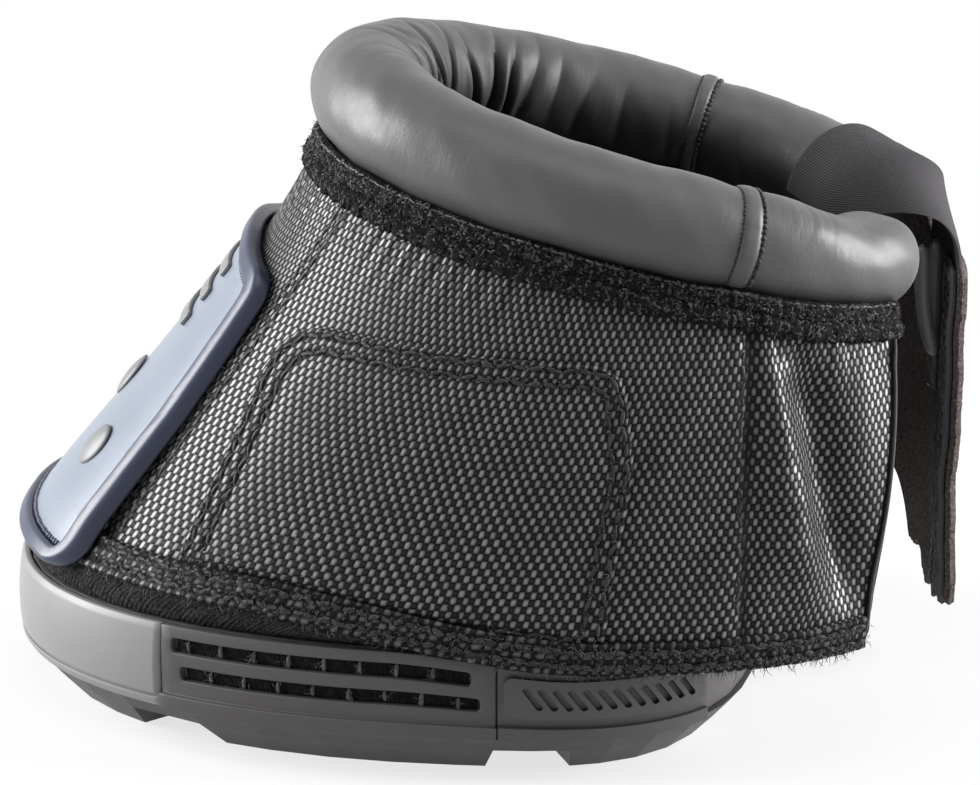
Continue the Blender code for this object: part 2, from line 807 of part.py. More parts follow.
def side_patch(name, side, finish):
    """The rounded reinforcing patch on one side, which stands on the hem band."""
    def lowest(x):
        return hem_height(x) + HEM_BAND_HEIGHT + SEW_GAP * 3
    corners = [(PATCH_BOTTOM_FRONT_X, lowest(PATCH_BOTTOM_FRONT_X), 0),
               (PATCH_TOP_FRONT_X, PATCH_TOP_HEIGHT, PATCH_FRONT_CORNER),
               (PATCH_TOP_REAR_X, PATCH_TOP_REAR_HEIGHT, PATCH_REAR_CORNER),
               (PATCH_BELLY_REAR_X, PATCH_BELLY_HEIGHT, PATCH_REAR_CORNER * 2),
               (PATCH_BOTTOM_REAR_X, lowest(PATCH_BOTTOM_REAR_X), 0)]
    outline = rounded(corners)
    outline = split_edges(outline, PATCH_REAR_CORNER * 1.6)
    outline = [(x, max(y, lowest(x))) for x, y in outline]

    def place(x, height, face):
        return side_point(x, height, GAP * 2 + (PATCH if face else 0), side)
    return fan_plate(name, outline, place, finish, rings=5)


def split_edges(outline, longest):
    """The outline with extra points, so that no edge is longer than stated."""
    result = []
    for i, (x, y) in enumerate(outline):
        next_x, next_y = outline[(i + 1) % len(outline)]
        parts = max(1, math.ceil(math.hypot(next_x - x, next_y - y) / longest))
        for part in range(parts):
            result.append((mix(x, next_x, part / parts), mix(y, next_y, part / parts)))
    return result


# Toe shield

def inset_outline(outline, width):
    """The outline of a flat plate, which runs anticlockwise, moved inwards by a width."""
    result = []
    for i, point in enumerate(outline):
        before = Vector(point) - Vector(outline[i - 1])
        after = Vector(outline[(i + 1) % len(outline)]) - Vector(point)
        ahead = (before.normalized() + after.normalized()).normalized()
        result.append((point[0] - ahead.y * width, point[1] + ahead.x * width))
    return result


def shield_outline():
    corners = [(0, SHIELD_BOTTOM_HEIGHT, 0),
               (SHIELD_BOTTOM_HALF, SHIELD_BOTTOM_HEIGHT - SHIELD_BOTTOM_SAG, SHIELD_CORNER),
               (SHIELD_MIDDLE_HALF, SHIELD_MIDDLE_HEIGHT, SHIELD_CORNER * 2),
               (SHIELD_TOP_HALF, SHIELD_SHOULDER_HEIGHT, SHIELD_CORNER),
               (0, SHIELD_TOP_HEIGHT, SHIELD_CORNER * 2)]
    left = [(-x, y, r) for x, y, r in reversed(corners[1:-1])]
    return split_edges(rounded(corners + left), SHIELD_CORNER)


def shield_proud(across, height):
    """Where the shield's inner face lies: over the hem band at its foot, close above it."""
    band_top = HEM_TOE_HEIGHT + HEM_BAND_HEIGHT + BINDING
    over = 1 - smooth(height, band_top, band_top + HEM_BAND_HEIGHT)
    return SEW_GAP + (HEM_BAND + GAP) * over


def shield_plate(finish):
    outline = inset_outline(shield_outline(), SHIELD_RIM_WIDTH + GAP)

    def place(across, height, face):
        return front_point(across, height, shield_proud(across, height) + face * SHIELD_THICKNESS)
    return fan_plate("shield_plate", outline, place, finish, rings=5)


def shield_rim(finish):
    """The raised moulded border round the shield."""
    outer = shield_outline()
    middle = inset_outline(outer, SHIELD_RIM_WIDTH / 2)
    inner = inset_outline(outer, SHIELD_RIM_WIDTH)
    sections = []
    for low, top, close in zip(outer, middle, inner):
        base = shield_proud(*low)
        sections.append([front_point(*low, base), front_point(*low, base + SHIELD_THICKNESS),
                         front_point(*top, base + SHIELD_RIM_HEIGHT),
                         front_point(*close, base + SHIELD_THICKNESS), front_point(*close, base)])
    return sweep("shield_rim", sections, finish, closed=True)


def shield_stud(name, across, height, finish):
    """A plain domed stud on the shield."""
    base = shield_proud(across, height) + SHIELD_THICKNESS + GAP
    bm = bmesh.new()
    loops = []
    for reach, lift in STUD_PROFILE_SHARES:
        radius = STUD_RADIUS * reach
        loops.append([bm.verts.new(front_point(across + radius * math.cos(angle),
                                               height + radius * math.sin(angle),
                                               base + STUD_DOME * lift))
                      for angle in circle(STUD_SIDES)])
    for loop, ahead in zip(loops, loops[1:]):
        for i in range(STUD_SIDES):
            k = (i + 1) % STUD_SIDES
            bm.faces.new((loop[i], loop[k], ahead[k], ahead[i]))
    top = bm.verts.new(front_point(across, height, base + STUD_DOME))
    under = bm.verts.new(front_point(across, height, base))
    for i in range(STUD_SIDES):
        k = (i + 1) % STUD_SIDES
        bm.faces.new((loops[-1][i], loops[-1][k], top))
        bm.faces.new((loops[0][i], loops[0][k], under))
    return finish_object(name, bm, finish)


def shield_bar(name, share, finish):
    """A plain raised bar across the shield, between its top stud and its top edge."""
    height = mix(max(STUD_HEIGHTS) + STUD_RADIUS, SHIELD_TOP_HEIGHT, share)
    base = shield_proud(0, height) + SHIELD_THICKNESS + GAP

    def place(along, up, face):
        across = BAR_LENGTH * (along - 0.5)
        return front_point(across, height + BAR_WIDTH * (up - 0.5), base + face * BAR_THICKNESS)
    return slab(name, place, 8, 2, finish)


# Collar

def collar_angles(turn, margin=0.0):
    """Angles round the leather cover, from one lip of its slot to the other."""
    middle = slot_angle(turn) - math.radians(SLOT_OFFSET_ANGLE)
    half = math.radians(SLOT_HALF_ANGLE) + margin
    return [mix(middle + half, middle + 2 * math.pi - half, i / COLLAR_SIDES)
            for i in range(COLLAR_SIDES + 1)]


def collar_section(turn, inner, outer, shift=Vector((0, 0, 0))):
    angles = collar_angles(turn)
    section = [collar_point(turn, a, outer) + shift for a in angles]
    section += [collar_point(turn, a, inner) + shift for a in reversed(angles)]
    return section


def collar_turn_at_seam(side, gap):
    reach = solve(lambda t: collar_centre(t).x - (WING_SEAM_X + gap), math.radians(60), math.radians(170))
    return side * reach


def cut_plane(section, turn, gap):
    """Slides a section's points along the collar on to a plane beside the wing seam."""
    along = collar_along(turn)
    return [point + along * ((WING_SEAM_X + gap - point.x) / along.x) for point in section]


def clear_seam(section, turn, way, number):
    """Slides a section's points along the collar until they are past the wing seam.

    way is 1 behind the seam and -1 before it. number counts the sections from the seam.
    """
    along = collar_along(turn)
    limit = WING_SEAM_X + way * (GAP / 2 + SEW_GAP * number)
    cleared = []
    for point in section:
        short = limit - point.x
        past = number and short * way < 0
        cleared.append(point if past else point + along * (short / along.x))
    return cleared


def front_sections(shape):
    """Sections of the front collar, between the two wing seams."""
    start, end = (collar_turn_at_seam(side, -GAP / 2) for side in (LEFT, RIGHT))
    sections = []
    for i in range(COLLAR_STATIONS + 1):
        turn = mix(start, end, i / COLLAR_STATIONS)
        sections.append(clear_seam(shape(turn), turn, -1, min(i, COLLAR_STATIONS - i)))
    return sections


def wing_sections(shape, side, end):
    """Sections of one wing's collar, from the wing seam to its end."""
    start = collar_turn_at_seam(side, GAP / 2)
    sections = []
    for i in range(COLLAR_WING_STATIONS + 1):
        turn = mix(start, end, i / COLLAR_WING_STATIONS)
        sections.append(clear_seam(shape(turn), turn, 1, i))
    return sections


def cover_section(turn):
    return collar_section(turn, collar_radius(turn) - COLLAR_LEATHER, collar_radius(turn))


def collar_cover_front(finish):
    return sweep("collar_cover_front", front_sections(cover_section), finish)


def foam_section(turn):
    radius = collar_radius(turn) - COLLAR_LEATHER - SEW_GAP
    angles = collar_angles(turn)
    middle = slot_angle(turn) - math.radians(SLOT_OFFSET_ANGLE)
    return [collar_point(turn, a, radius) for a in angles[1:-1]] + \
        [collar_point(turn, middle + math.radians(a), radius * 0.93) for a in (-22, 22)]


def collar_foam_front(finish):
    return sweep("collar_foam_front", front_sections(foam_section), finish)


def collar_end_turn(side):
    return side * math.radians(COLLAR_END_TURN)


def collar_cover_wing(name, side, finish, parent):
    """The cover over one wing's collar, closed by a rounded end."""
    end = collar_end_turn(side)
    sections = wing_sections(cover_section, side, end)
    along = collar_along(end) * side
    radius = collar_radius(end)
    for share in (0.02, 0.45, 0.8, 0.98):
        outer = radius * math.sqrt(1 - share * share)
        inner = radius * 0.05
        shift = along * (COLLAR_DOME * share)
        sections.append(collar_section(end, min(inner, outer * 0.5), outer, shift))
    return sweep(name, sections, finish, parent)


def collar_foam_wing(name, side, finish, parent):
    end = collar_end_turn(side) - side * math.radians(1)
    return sweep(name, wing_sections(foam_section, side, end), finish, parent)


def collar_strip(name, side, finish):
    """The folded leather strip over the seam between the front and wing covers."""
    sections = []
    for i in range(3):
        back = -GAP - STRIP_WIDTH * i / 2
        turn = collar_turn_at_seam(side, back)
        low = collar_radius(turn) + DOME_GAP
        sections.append(cut_plane(collar_section(turn, low, low + STRIP_THICKNESS), turn, back))
    return sweep(name, sections, finish)


# Heel flap and band

def flap_hinge_point(height):
    """The right wing's rear edge, just outside its fabric."""
    low, high = wall_base(wing_edge_turn(0), 0).z, wall_base(wing_edge_turn(1), 1).z
    rise = (height - low) / (high - low)
    point = wall(wing_edge_turn(rise), rise, GAP + BINDING + SEW_GAP)
    return Vector((point.x, point.y, height))


def flap_hinge():
    """The lowest and highest named points of the axis that the flap swings about."""
    ends = []
    levels = (FLAP_HINGE_BOTTOM_HEIGHT, FLAP_TOP_HEIGHT)
    for rise, height, out in zip((0, 1), levels, (FLAP_HINGE_LOW_OUT, FLAP_HINGE_TOP_OUT)):
        turn = wing_edge_turn(rise)
        ends.append(flap_hinge_point(height) + Vector((-math.cos(turn), math.sin(turn), 0)) * out)
    return ends


def flap_plan(along, height, proud):
    """The flap's plan: from the far wing's edge round to its free edge at the heel."""
    hinge = flap_hinge_point(height)
    bend = Vector((FLAP_BEND_X, FLAP_BEND_Y, height))
    free = Vector((FLAP_REACH_X, FLAP_FREE_Y, height))
    first, second = hinge.lerp(bend, along), bend.lerp(free, along)
    point = first.lerp(second, along)
    ahead = second - first
    normal = Vector((ahead.y, -ahead.x, 0)).normalized()
    normal = normal if normal.x > 0 else -normal
    return point + normal * proud


def flap_bottom(along):
    rag = FLAP_RAG * math.sin(along * FLAP_RAG_WAVES * math.pi) * smooth(along, 0.3, 0.5)
    reach = smooth(along, 0.15, 0.55)
    return mix(FLAP_HINGE_BOTTOM_HEIGHT, FLAP_TIP_HEIGHT, reach) + rag


def flap_panel(finish, parent):
    def place(along, up, face):
        share = mix(FLAP_START_SHARE, 1, along)
        height = mix(flap_bottom(along), FLAP_TOP_HEIGHT, up)
        return flap_plan(share, height, FLAP_THICKNESS if face else 0)
    return slab("heel_flap", place, FLAP_COLUMNS, FLAP_ROWS, finish, parent)


def flap_edge_tape(finish, parent):
    """The doubled tape sewn inside the flap's free edge."""
    def place(along, up, face):
        share = mix(*EDGE_TAPE_SHARES, along)
        height = mix(flap_bottom(share) + FLAP_RAG, FLAP_TOP_HEIGHT, up)
        return flap_plan(share, height, -SEW_GAP - (0 if face else EDGE_TAPE))
    return slab("flap_edge_tape", place, 4, FLAP_ROWS, finish, parent)


def hood_angle(across):
    """Angle round the collar's end: inner and low first, then over the top to the outside."""
    return math.radians(mix(BAND_INNER_ANGLE, BAND_OUTER_ANGLE, across))


def band_root(finish, parent):
    """The twill band's sewn end, a sleeve over the right wing's collar."""
    stop = math.radians(COLLAR_END_TURN)

    def place(along, up, face):
        start = math.radians(BAND_START_TURN + BAND_LEAD_TURN * up)
        turn = mix(start, stop, along)
        radius = collar_radius(turn) + DOME_GAP + face * BAND_THICKNESS
        return collar_point(turn, hood_angle(up), radius)
    return slab("heel_band_root", place, 5, BAND_ROWS, finish, parent)


def band_path(along, across, proud):
    """The band's free run, from the collar's end over and down to the flap's top."""
    turn = math.radians(COLLAR_END_TURN)
    radius = collar_radius(turn) + DOME_GAP + proud
    away = collar_along(turn)
    start = collar_point(turn, hood_angle(across), radius) + away * SEW_GAP
    end = flap_plan(mix(*BAND_REACH_SHARES, across), FLAP_TOP_HEIGHT + SEW_GAP, proud)
    lead = start + away * BAND_DRAPE_PULL / 2
    drop = end + UP * BAND_DROP_PULL / 2
    a = start.lerp(lead, along)
    b = lead.lerp(drop, along)
    c = drop.lerp(end, along)
    return a.lerp(b, along).lerp(b.lerp(c, along), along)


def heel_band(finish, parent):
    def place(along, up, face):
        return band_path(along, up, BAND_THICKNESS if face else 0)
    return slab("heel_band", place, BAND_COLUMNS, BAND_ROWS, finish, parent)


def flap_roll(name, across, finish, parent):
    """A rolled leather fold that hangs inside the band, near its free edge."""
    sections = []
    for i in range(ROLL_STATIONS + 1):
        share = i / ROLL_STATIONS
        along = mix(*ROLL_RUN_SHARES, share)
        ease = math.sqrt(max(ROLL_END_EASE, 1 - abs(2 * share - 1) ** 3))
        side = band_path(along, across + STEP_SHARE, 0) - band_path(along, across - STEP_SHARE, 0)
        ahead = band_path(along + STEP_SHARE, across, 0) - band_path(along - STEP_SHARE, across, 0)
        side.normalize()
        deep = side.cross(ahead).normalized()
        inward = -deep if deep.x > 0 else deep
        centre = band_path(along, across, 0) + inward * (DOME_GAP + ROLL_DEPTH / 2)
        sections.append([centre + side * (ROLL_WIDTH / 2 * ease * math.cos(angle))
                         + deep * (ROLL_DEPTH / 2 * ease * math.sin(angle)) for angle in circle(ROLL_SIDES)])
    return sweep(name, sections, finish, parent)


def pull_tab(finish, parent):
    """The short leather tab inside the flap."""
    def place(along, up, face):
        height = TAB_TOP_HEIGHT - TAB_LENGTH * (1 - up)
        share = TAB_SHARE
        base = flap_plan(share, height, -SEW_GAP - (0 if face else TAB_THICKNESS))
        side = flap_plan(share + STEP_SHARE, height, 0) - flap_plan(share - STEP_SHARE, height, 0)
        return base + side.normalized() * (TAB_WIDTH * (along - 0.5))
    return slab("pull_tab", place, 3, 3, finish, parent)


def hook_tape(finish, parent):
    """The hook tape inside the left wing's rear edge, which stands past the fabric."""
    inner_proud, _ = lining_prouds()

    def place(along, up, face):
        rise = mix(*HOOK_TAPE_RISE_SHARES, up)
        start = wall_turn_at_x(WING_SEAM_X, rise, inner_proud)
        end = wing_edge_turn(rise)
        turn = mix(mix(start, end, HOOK_TAPE_ROOT_SHARE), end + math.radians(HOOK_TAPE_REACH_TURN), along)
        proud = inner_proud - DOME_GAP - (0 if face else HOOK_TAPE_THICKNESS)
        return wall(-turn, rise, proud)
    return slab("hook_tape", place, 4, WING_ROWS, finish, parent)


# Assembly

def joint_empty(name, low, top, parent=None):
    """The empty that moves a body, on its joint's axis, with its own Z along that axis."""
    made = bpy.data.objects.new(name, None)
    made.location = low
    made.rotation_euler = (top - low).to_track_quat("Z", "X").to_euler()
    bpy.context.collection.objects.link(made)
    bpy.context.view_layer.update()
    if parent is not None:
        made.parent = parent
        made.matrix_parent_inverse = parent.matrix_world.inverted()
        bpy.context.view_layer.update()
    return made


def build_sole():
    rubber = material("sole_rubber", (0.052, 0.052, 0.054), 0.5)
    base = material("tread_rubber", (0.035, 0.035, 0.036), 0.6)
    toe = material("toe_rubber", (0.09, 0.09, 0.092), 0.42)
    foam = material("insole_foam", (0.05, 0.05, 0.055), 0.9)
    tread(base)
    tray(rubber)
    insole(foam)
    toe_cap(toe)
    for word, side in (("left", LEFT), ("right", RIGHT)):
        side_frame("side_frame_" + word, side, rubber)
        heel_panel("heel_panel_" + word, side, rubber)


def build_front():
    nylon = material("nylon", (0.03, 0.03, 0.032), 0.6)
    fabric = material("lining_fabric", (0.015, 0.015, 0.016), 0.85)
    tape = material("binding_tape", (0.02, 0.02, 0.021), 0.8)
    skirt(fabric)
    front_layer("lining_front", (0, 1), whole, lining_prouds(), UPPER_COLUMNS, UPPER_ROWS, fabric)
    side_columns = round(UPPER_COLUMNS * FRONT_SEAM_SHARE)
    front_layer("quarter_left", (0, FRONT_SEAM_SHARE), whole, (-NYLON, 0), side_columns, UPPER_ROWS, nylon)
    front_layer("toe_panel", (FRONT_SEAM_SHARE, 1 - FRONT_SEAM_SHARE), whole, (-NYLON, 0),
                UPPER_COLUMNS - 2 * side_columns, UPPER_ROWS, nylon)
    front_layer("quarter_right", (1 - FRONT_SEAM_SHARE, 1), whole, (-NYLON, 0), side_columns,
                UPPER_ROWS, nylon)
    front_layer("hem_band_front", (0, 1), foot, (GAP, GAP + HEM_BAND), UPPER_COLUMNS, 1, tape)
    front_layer("collar_binding_front", (0, 1), head, (GAP, GAP + BINDING),
                UPPER_COLUMNS, 1, tape)
    side_patch("side_patch_left", LEFT, nylon)
    side_patch("side_patch_right", RIGHT, nylon)


def build_shield():
    plate = material("shield_plate", (0.19, 0.23, 0.34), 0.3)
    rim = material("shield_rim", (0.035, 0.055, 0.13), 0.35)
    grey = material("shield_grey", (0.12, 0.125, 0.13), 0.4)
    shield_plate(plate)
    shield_rim(rim)
    for number, (across, height) in enumerate(zip(STUD_ACROSS, STUD_HEIGHTS)):
        shield_stud("shield_stud_%d" % (number + 1), across, height, grey)
    for number, share in enumerate(BAR_HEIGHT_SHARES):
        shield_bar("shield_bar_%d" % (number + 1), share, grey)


def build_collar():
    leather = material("collar_leather", (0.10, 0.10, 0.102), 0.45)
    foam = material("collar_foam", (0.3, 0.3, 0.3), 0.95)
    collar_cover_front(leather)
    collar_foam_front(foam)
    collar_strip("collar_strip_left", LEFT, leather)
    collar_strip("collar_strip_right", RIGHT, leather)


def build_wing(word, side, joint):
    nylon = material("nylon", (0.03, 0.03, 0.032), 0.6)
    fabric = material("lining_fabric", (0.015, 0.015, 0.016), 0.85)
    tape = material("binding_tape", (0.02, 0.02, 0.021), 0.8)
    leather = material("collar_leather", (0.10, 0.10, 0.102), 0.45)
    foam = material("collar_foam", (0.3, 0.3, 0.3), 0.95)
    wing_layer("wing_lining_" + word, side, whole, lining_prouds(), WING_ROWS, fabric, joint)
    wing_layer("wing_panel_" + word, side, whole, (-NYLON, 0), WING_ROWS, nylon, joint)
    wing_layer("hem_band_" + word, side, foot, (GAP, GAP + HEM_BAND), 1, tape, joint)
    wing_layer("collar_binding_" + word, side, head,
               (GAP, GAP + BINDING), 1, tape, joint)
    collar_cover_wing("collar_cover_" + word, side, leather, joint)
    collar_foam_wing("collar_foam_" + word, side, foam, joint)


def build_heel(right_joint):
    twill = material("twill", (0.025, 0.024, 0.026), 0.8)
    loop = material("loop_fabric", (0.015, 0.014, 0.015), 0.95)
    leather = material("collar_leather", (0.10, 0.10, 0.102), 0.45)
    band_root(twill, right_joint)
    flap_joint = joint_empty("heel_flap_joint", *flap_hinge(), right_joint)
    flap_panel(loop, flap_joint)
    flap_edge_tape(twill, flap_joint)
    heel_band(twill, flap_joint)
    for number, across in enumerate(ROLL_ACROSS_SHARES):
        flap_roll("leather_roll_%d" % (number + 1), across, leather, flap_joint)
    pull_tab(leather, flap_joint)


def wing_joint(word, side):
    """A wing opens about a line just outside its seam, leaning in towards the collar."""
    low = Vector((WING_SEAM_X, side * (HEM_HALF_WIDTH + WING_HINGE_OUT), HEM_HEEL_HEIGHT))
    top = low + Vector((0, -side * WING_HINGE_LEAN, WING_HINGE_RISE))
    return joint_empty("%s_wing_joint" % word, low, top)


def main():
    for old in list(bpy.data.objects):
        bpy.data.objects.remove(old, do_unlink=True)
    build_sole()
    build_front()
    build_shield()
    build_collar()
    left_joint = wing_joint("left", LEFT)
    right_joint = wing_joint("right", RIGHT)
    build_wing("left", LEFT, left_joint)
    build_wing("right", RIGHT, right_joint)
    build_heel(right_joint)
    hook_tape(material("hook_tape", (0.04, 0.035, 0.03), 0.7), left_joint)


main()
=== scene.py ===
"""Looks of a hoof boot: moulded sole, woven nylon upper, padded leather collar, toe shield
and heel flap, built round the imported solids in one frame.

Metres, +Z up. The toe points to -X, the heel to +X and the left side is -Y. A turn is the
angle round the boot: 0 at the toe, 90 degrees at the right side and 180 at the heel.
"""
import functools
import math

import bmesh
import bpy
import numpy as np
from bpy.props import FloatProperty, FloatVectorProperty, PointerProperty
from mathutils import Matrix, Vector


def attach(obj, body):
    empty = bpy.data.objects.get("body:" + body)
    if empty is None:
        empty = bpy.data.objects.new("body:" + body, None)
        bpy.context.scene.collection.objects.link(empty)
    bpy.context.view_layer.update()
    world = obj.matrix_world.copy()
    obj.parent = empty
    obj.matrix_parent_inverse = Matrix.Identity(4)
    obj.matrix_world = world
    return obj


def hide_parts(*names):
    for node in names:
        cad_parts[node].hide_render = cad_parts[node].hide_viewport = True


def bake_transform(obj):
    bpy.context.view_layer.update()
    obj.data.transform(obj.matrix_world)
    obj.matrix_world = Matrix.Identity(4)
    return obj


bl_info = {
    "name": "Hoof Boot Looks",
    "version": (1, 0, 0),
    "blender": (4, 5, 0),
    "location": "3D View > Sidebar > Hoof Boot",
    "description": "Models the finished surfaces of a hoof boot round its solids",
    "category": "Object",
}

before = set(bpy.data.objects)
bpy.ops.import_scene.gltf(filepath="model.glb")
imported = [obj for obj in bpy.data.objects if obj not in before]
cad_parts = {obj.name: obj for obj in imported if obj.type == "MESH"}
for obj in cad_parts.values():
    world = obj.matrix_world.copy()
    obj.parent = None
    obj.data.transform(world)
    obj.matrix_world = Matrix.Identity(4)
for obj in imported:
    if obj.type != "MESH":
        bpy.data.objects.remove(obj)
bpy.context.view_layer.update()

LEFT = -1
RIGHT = 1
SIDES = (("left", LEFT), ("right", RIGHT))
UP = np.array([0.0, 0.0, 1.0])

# Clearances
GAP = 0.0003
SEW_GAP = 0.0004
DOME_GAP = 0.0009

# Sole
TRAY_BOTTOM = 0.0093
FLOOR_TOP = 0.0120
CLAD_THICKNESS = 0.0026
TRAY_INNER_INSET = 0.0053
RIM_TOE_HEIGHT = 0.0275
RIM_HEEL_HEIGHT = 0.0235
RIM_DROP_X = (0.005, 0.045)
TOE_CAP_END_X = -0.0430
SIDE_FRAME_END_X = 0.0280
HEEL_PANEL_END_X = 0.0700
FRAME_LIP = 0.0010
INSOLE_THICKNESS = 0.0040
INSOLE_CROWN = 0.0008
INSOLE_QUILT = 0.0004
INSOLE_QUILT_RATE = 420
INSOLE_SHARES = (1e-4, 0.2, 0.4, 0.6, 0.75, 0.86, 0.93, 0.97, 0.99)
TOE_WALL_THICKNESS = CLAD_THICKNESS * 0.62
TOE_STEP = (0.0021, 0.0027)
FOOT_HEIGHT = 0.0034
CHANNEL_FLOOR = 0.0002
WEB_END_GAP = 0.0008
WEB_LIFT = 0.0007
WEB_BUMP = 0.00022
WEB_GRAIN = 0.00018
KNOT_START = 0.0030
KNOT_PITCH = 0.0076
KNOT_SIZE = (0.0029, 0.0009, 0.0008)
KNOT_LIFT = 0.0012
KNOT_TIPS = 12
NOTCHES = 12
NOTCH_FOOT_HEIGHT = 0.0082
NOTCH_DEPTH = 0.0009
NOTCH_SLANT = -0.55
CUT_REACH = 0.01
PANEL_FOOT_HEIGHT = 0.0062
PANEL_CORNER = 0.0022

# Upper
HEM_TOE_HEIGHT = 0.0340
HEM_HEEL_HEIGHT = 0.0250
HEM_DROP_X = (-0.030, 0.050)
SIDE_BULGE = 0.0030
TOE_HOLLOW = 0.0035
NYLON = 0.0017
LINING = 0.0018
SKIRT = 0.0015
PATCH = 0.0011
HEM_BAND = 0.0010
HEM_BAND_HEIGHT = 0.0058
HEM_ROWS = (0.25, 0.75)
HEM_CROWN = 0.0002
HEM_GRAIN = 0.00016
HEM_GROOVE = 0.0003
HEM_STITCH = 0.0011
HEM_STITCH_PITCH = 0.0031
STITCH = 0.0009
STITCH_SHARE = 0.85
SEAM_PITCH = 0.0033
FIBRE_RADIUS = 0.00008
BINDING = 0.0013
BINDING_HEIGHT = 0.0062
BINDING_RISE = 0.97
BINDING_OVERHANG = 0.016
BINDING_RIDGE = 0.0008
BINDING_TWIST = 0.00022
BINDING_GRAIN = 0.00026
BINDING_SEAM_ROW = 18
LINKS = 2100
LINK_SIZE = (0.0011, 0.00042, 0.0004)
FIBRES = 1900
END_FIBRES = 200
FRONT_SEAM_SHARE = 0.35
TOE_WEAVE = 1.2
WEAVE_SLOPE = 1.04
SKIRT_END_TURN = math.radians(106)
FRILL_END_TURN = math.radians(104)
SEAM_TURN = 0.002
MIDDLE_TURN = 0.0008
FRONT_ROWS = (-0.026, 0.016)
WING_SEAM_X = 0.0770
WING_CORD_RADIUS = 0.00035
UPPER_TOP_SHARE = 0.972
HEAD_PUCKER = 0.00030
FOOT_PUCKER = 0.00022
SIDE_SLACK = 0.00055
SEAM_PUCKER = 0.00045
SEAM_DIP = 0.0009
SKIRT_TOP_SHARE = 0.11
WING_EDGE_HEM_TURN = 138.0
WING_EDGE_SEAM_TURN = 147.0
FOLD_START_TURN = 116.0
FOLD_DEPTH = 0.0034
FOLD_RIDGE = 0.0016
FOLD_WIDTH_SHARE = 0.17
VALLEY_SHARES = (0.95, 0.22)
RIDGE_SHARES = (0.62, -0.02)

# Collar
COLLAR_TOE_HEIGHT = 0.1280
COLLAR_SLOPE = 0.26
COLLAR_TOE_RADIUS = 0.0120
COLLAR_RADIUS = 0.0112
COLLAR_END_TURN = math.radians(150)
COLLAR_DOME = 0.0085
RUN_PER_TURN = 0.052
CREASE_REACH = 0.115
COLLAR_WAIST = 0.0007
COLLAR_WAIST_LENGTH = 0.0060
COLLAR_END_WAIST = 0.0007
COLLAR_DROOP = 0.0027
COLLAR_SWAY = 0.00035
SLOT_TOE_ANGLE = -40.0
SLOT_SIDE_ANGLE = -50.0
STRIP_WIDTH = 0.0030
STRIP_THICKNESS = 0.0006
STRIP_X = {-1: 0.0722, 1: 0.0615}

# The collar's creases, far from the toe and at it
CREASE_DEPTH = (0.0011, 0.0046)
CREASE_WIDTH = (0.0017, 0.0012)
CREASE_STEP = (0.0095, 0.0062)
CREASE_TURN = (0.95, 1.3)
CREASE_LEAN = 0.0030

# Painted shade on the collar: down its inner face, in its creases and under it
INNER_SHADE = 0.92
CREASE_SHADE = 0.90
UNDER_SHADE = 0.60

# Toe shield
SHIELD_THICKNESS = 0.0022
SHIELD_STEP = 0.0004
FIELD_FACE = SHIELD_THICKNESS - SHIELD_STEP + 0.00005
SHIELD_RIM_WIDTH = 0.0034
SHIELD_RIM_HEIGHT = 0.0036
SHIELD_BOTTOM_HALF = 0.0440
SHIELD_MIDDLE_HALF = 0.0388
SHIELD_TOP_HALF = 0.0315
SHIELD_BOTTOM_HEIGHT = 0.0325
SHIELD_BOTTOM_SAG = 0.0020
SHIELD_MIDDLE_HEIGHT = 0.0640
SHIELD_SHOULDER_HEIGHT = 0.0925
SHIELD_TOP_HEIGHT = 0.1000
SHIELD_CORNER = 0.0070
STUD_RADIUS = 0.0042
STUD_DOME = 0.0016
STUD_RINGS = ((0.55, 0.30), (0.85, 0.28), (1.1, 0.20), (0.9, 0.07))
STUD_PLACES = ((-0.0215, 0.0520), (0.0215, 0.0520), (0.0, 0.0615))
BAR_LENGTH = 0.0240
BAR_WIDTH = 0.0026
BAR_THICKNESS = 0.0009
BAR_HEIGHTS = (0.0775, 0.0830, 0.0885)

# Side patch, as (X, height, corner radius)
PATCH_CORNERS = ((-0.0405, None, 0.0030), (-0.0170, 0.0880, 0.0170), (0.0525, 0.0855, 0.0080),
                 (0.0550, 0.0660, 0.0160), (0.0485, None, 0.0030))
PATCH_TUCK = 0.0022
PATCH_LIFT = 0.0006
PATCH_ROWS = (0.0013, 0.0042)
PATCH_EDGE = 0.0062
PATCH_DEEP = 0.02
PATCH_GROOVE = 0.00045
PATCH_SWELL = 0.0002
PATCH_FALL = 0.0004
# Painted shade in the grooves under the patch's stitch rows and along its foot at the hem band
PATCH_GROOVE_SHADE = 0.95
PATCH_FOOT_SHADE = 0.9

# Heel flap and band
FLAP_THICKNESS = 0.0022
FLAP_REACH_X = 0.1195
FLAP_FREE_Y = 0.0015
FLAP_BEND_X = 0.1190
FLAP_BEND_Y = 0.0350
FLAP_TOP_HEIGHT = 0.0900
FLAP_HEAD = 0.0065
FLAP_TIP_HEIGHT = 0.0150
FLAP_HINGE_BOTTOM_HEIGHT = 0.0330
FLAP_RAG = 0.0030
FLAP_RAG_WAVES = 9
FLAP_START_SHARE = 0.035
FLAP_WEAVE_RUN = 0.06
EDGE_TAPE_SHARES = (0.74, 0.985)
EDGE_TAPE = 0.0011
EDGE_TAPE_ROWS = (0.79, 0.87, 0.95)
BAND_REACH_SHARES = (1.0, 0.42)
BAND_INNER_ANGLE = 188.0
BAND_OUTER_ANGLE = 6.0
BAND_THICKNESS = 0.0013
BAND_WIDTH = 0.036
BAND_START_TURN = 134.0
BAND_LEAD_TURN = 8.0
BAND_DRAPE_PULL = 0.0300
BAND_DROP_PULL = 0.0420
ROLL_WIDTH = 0.0038
ROLL_DEPTH = 0.0032
ROLL_TOP_HEIGHT = 0.0945
ROLL_BOW = 0.0034
ROLL_ACROSS_SHARES = (0.07, 0.21)
ROLL_FOOT_HEIGHT = 0.0700
ROLL_ROWS = 90
ROLL_SIDES = 28
TAB_WIDTH = 0.0042
TAB_THICKNESS = 0.0018
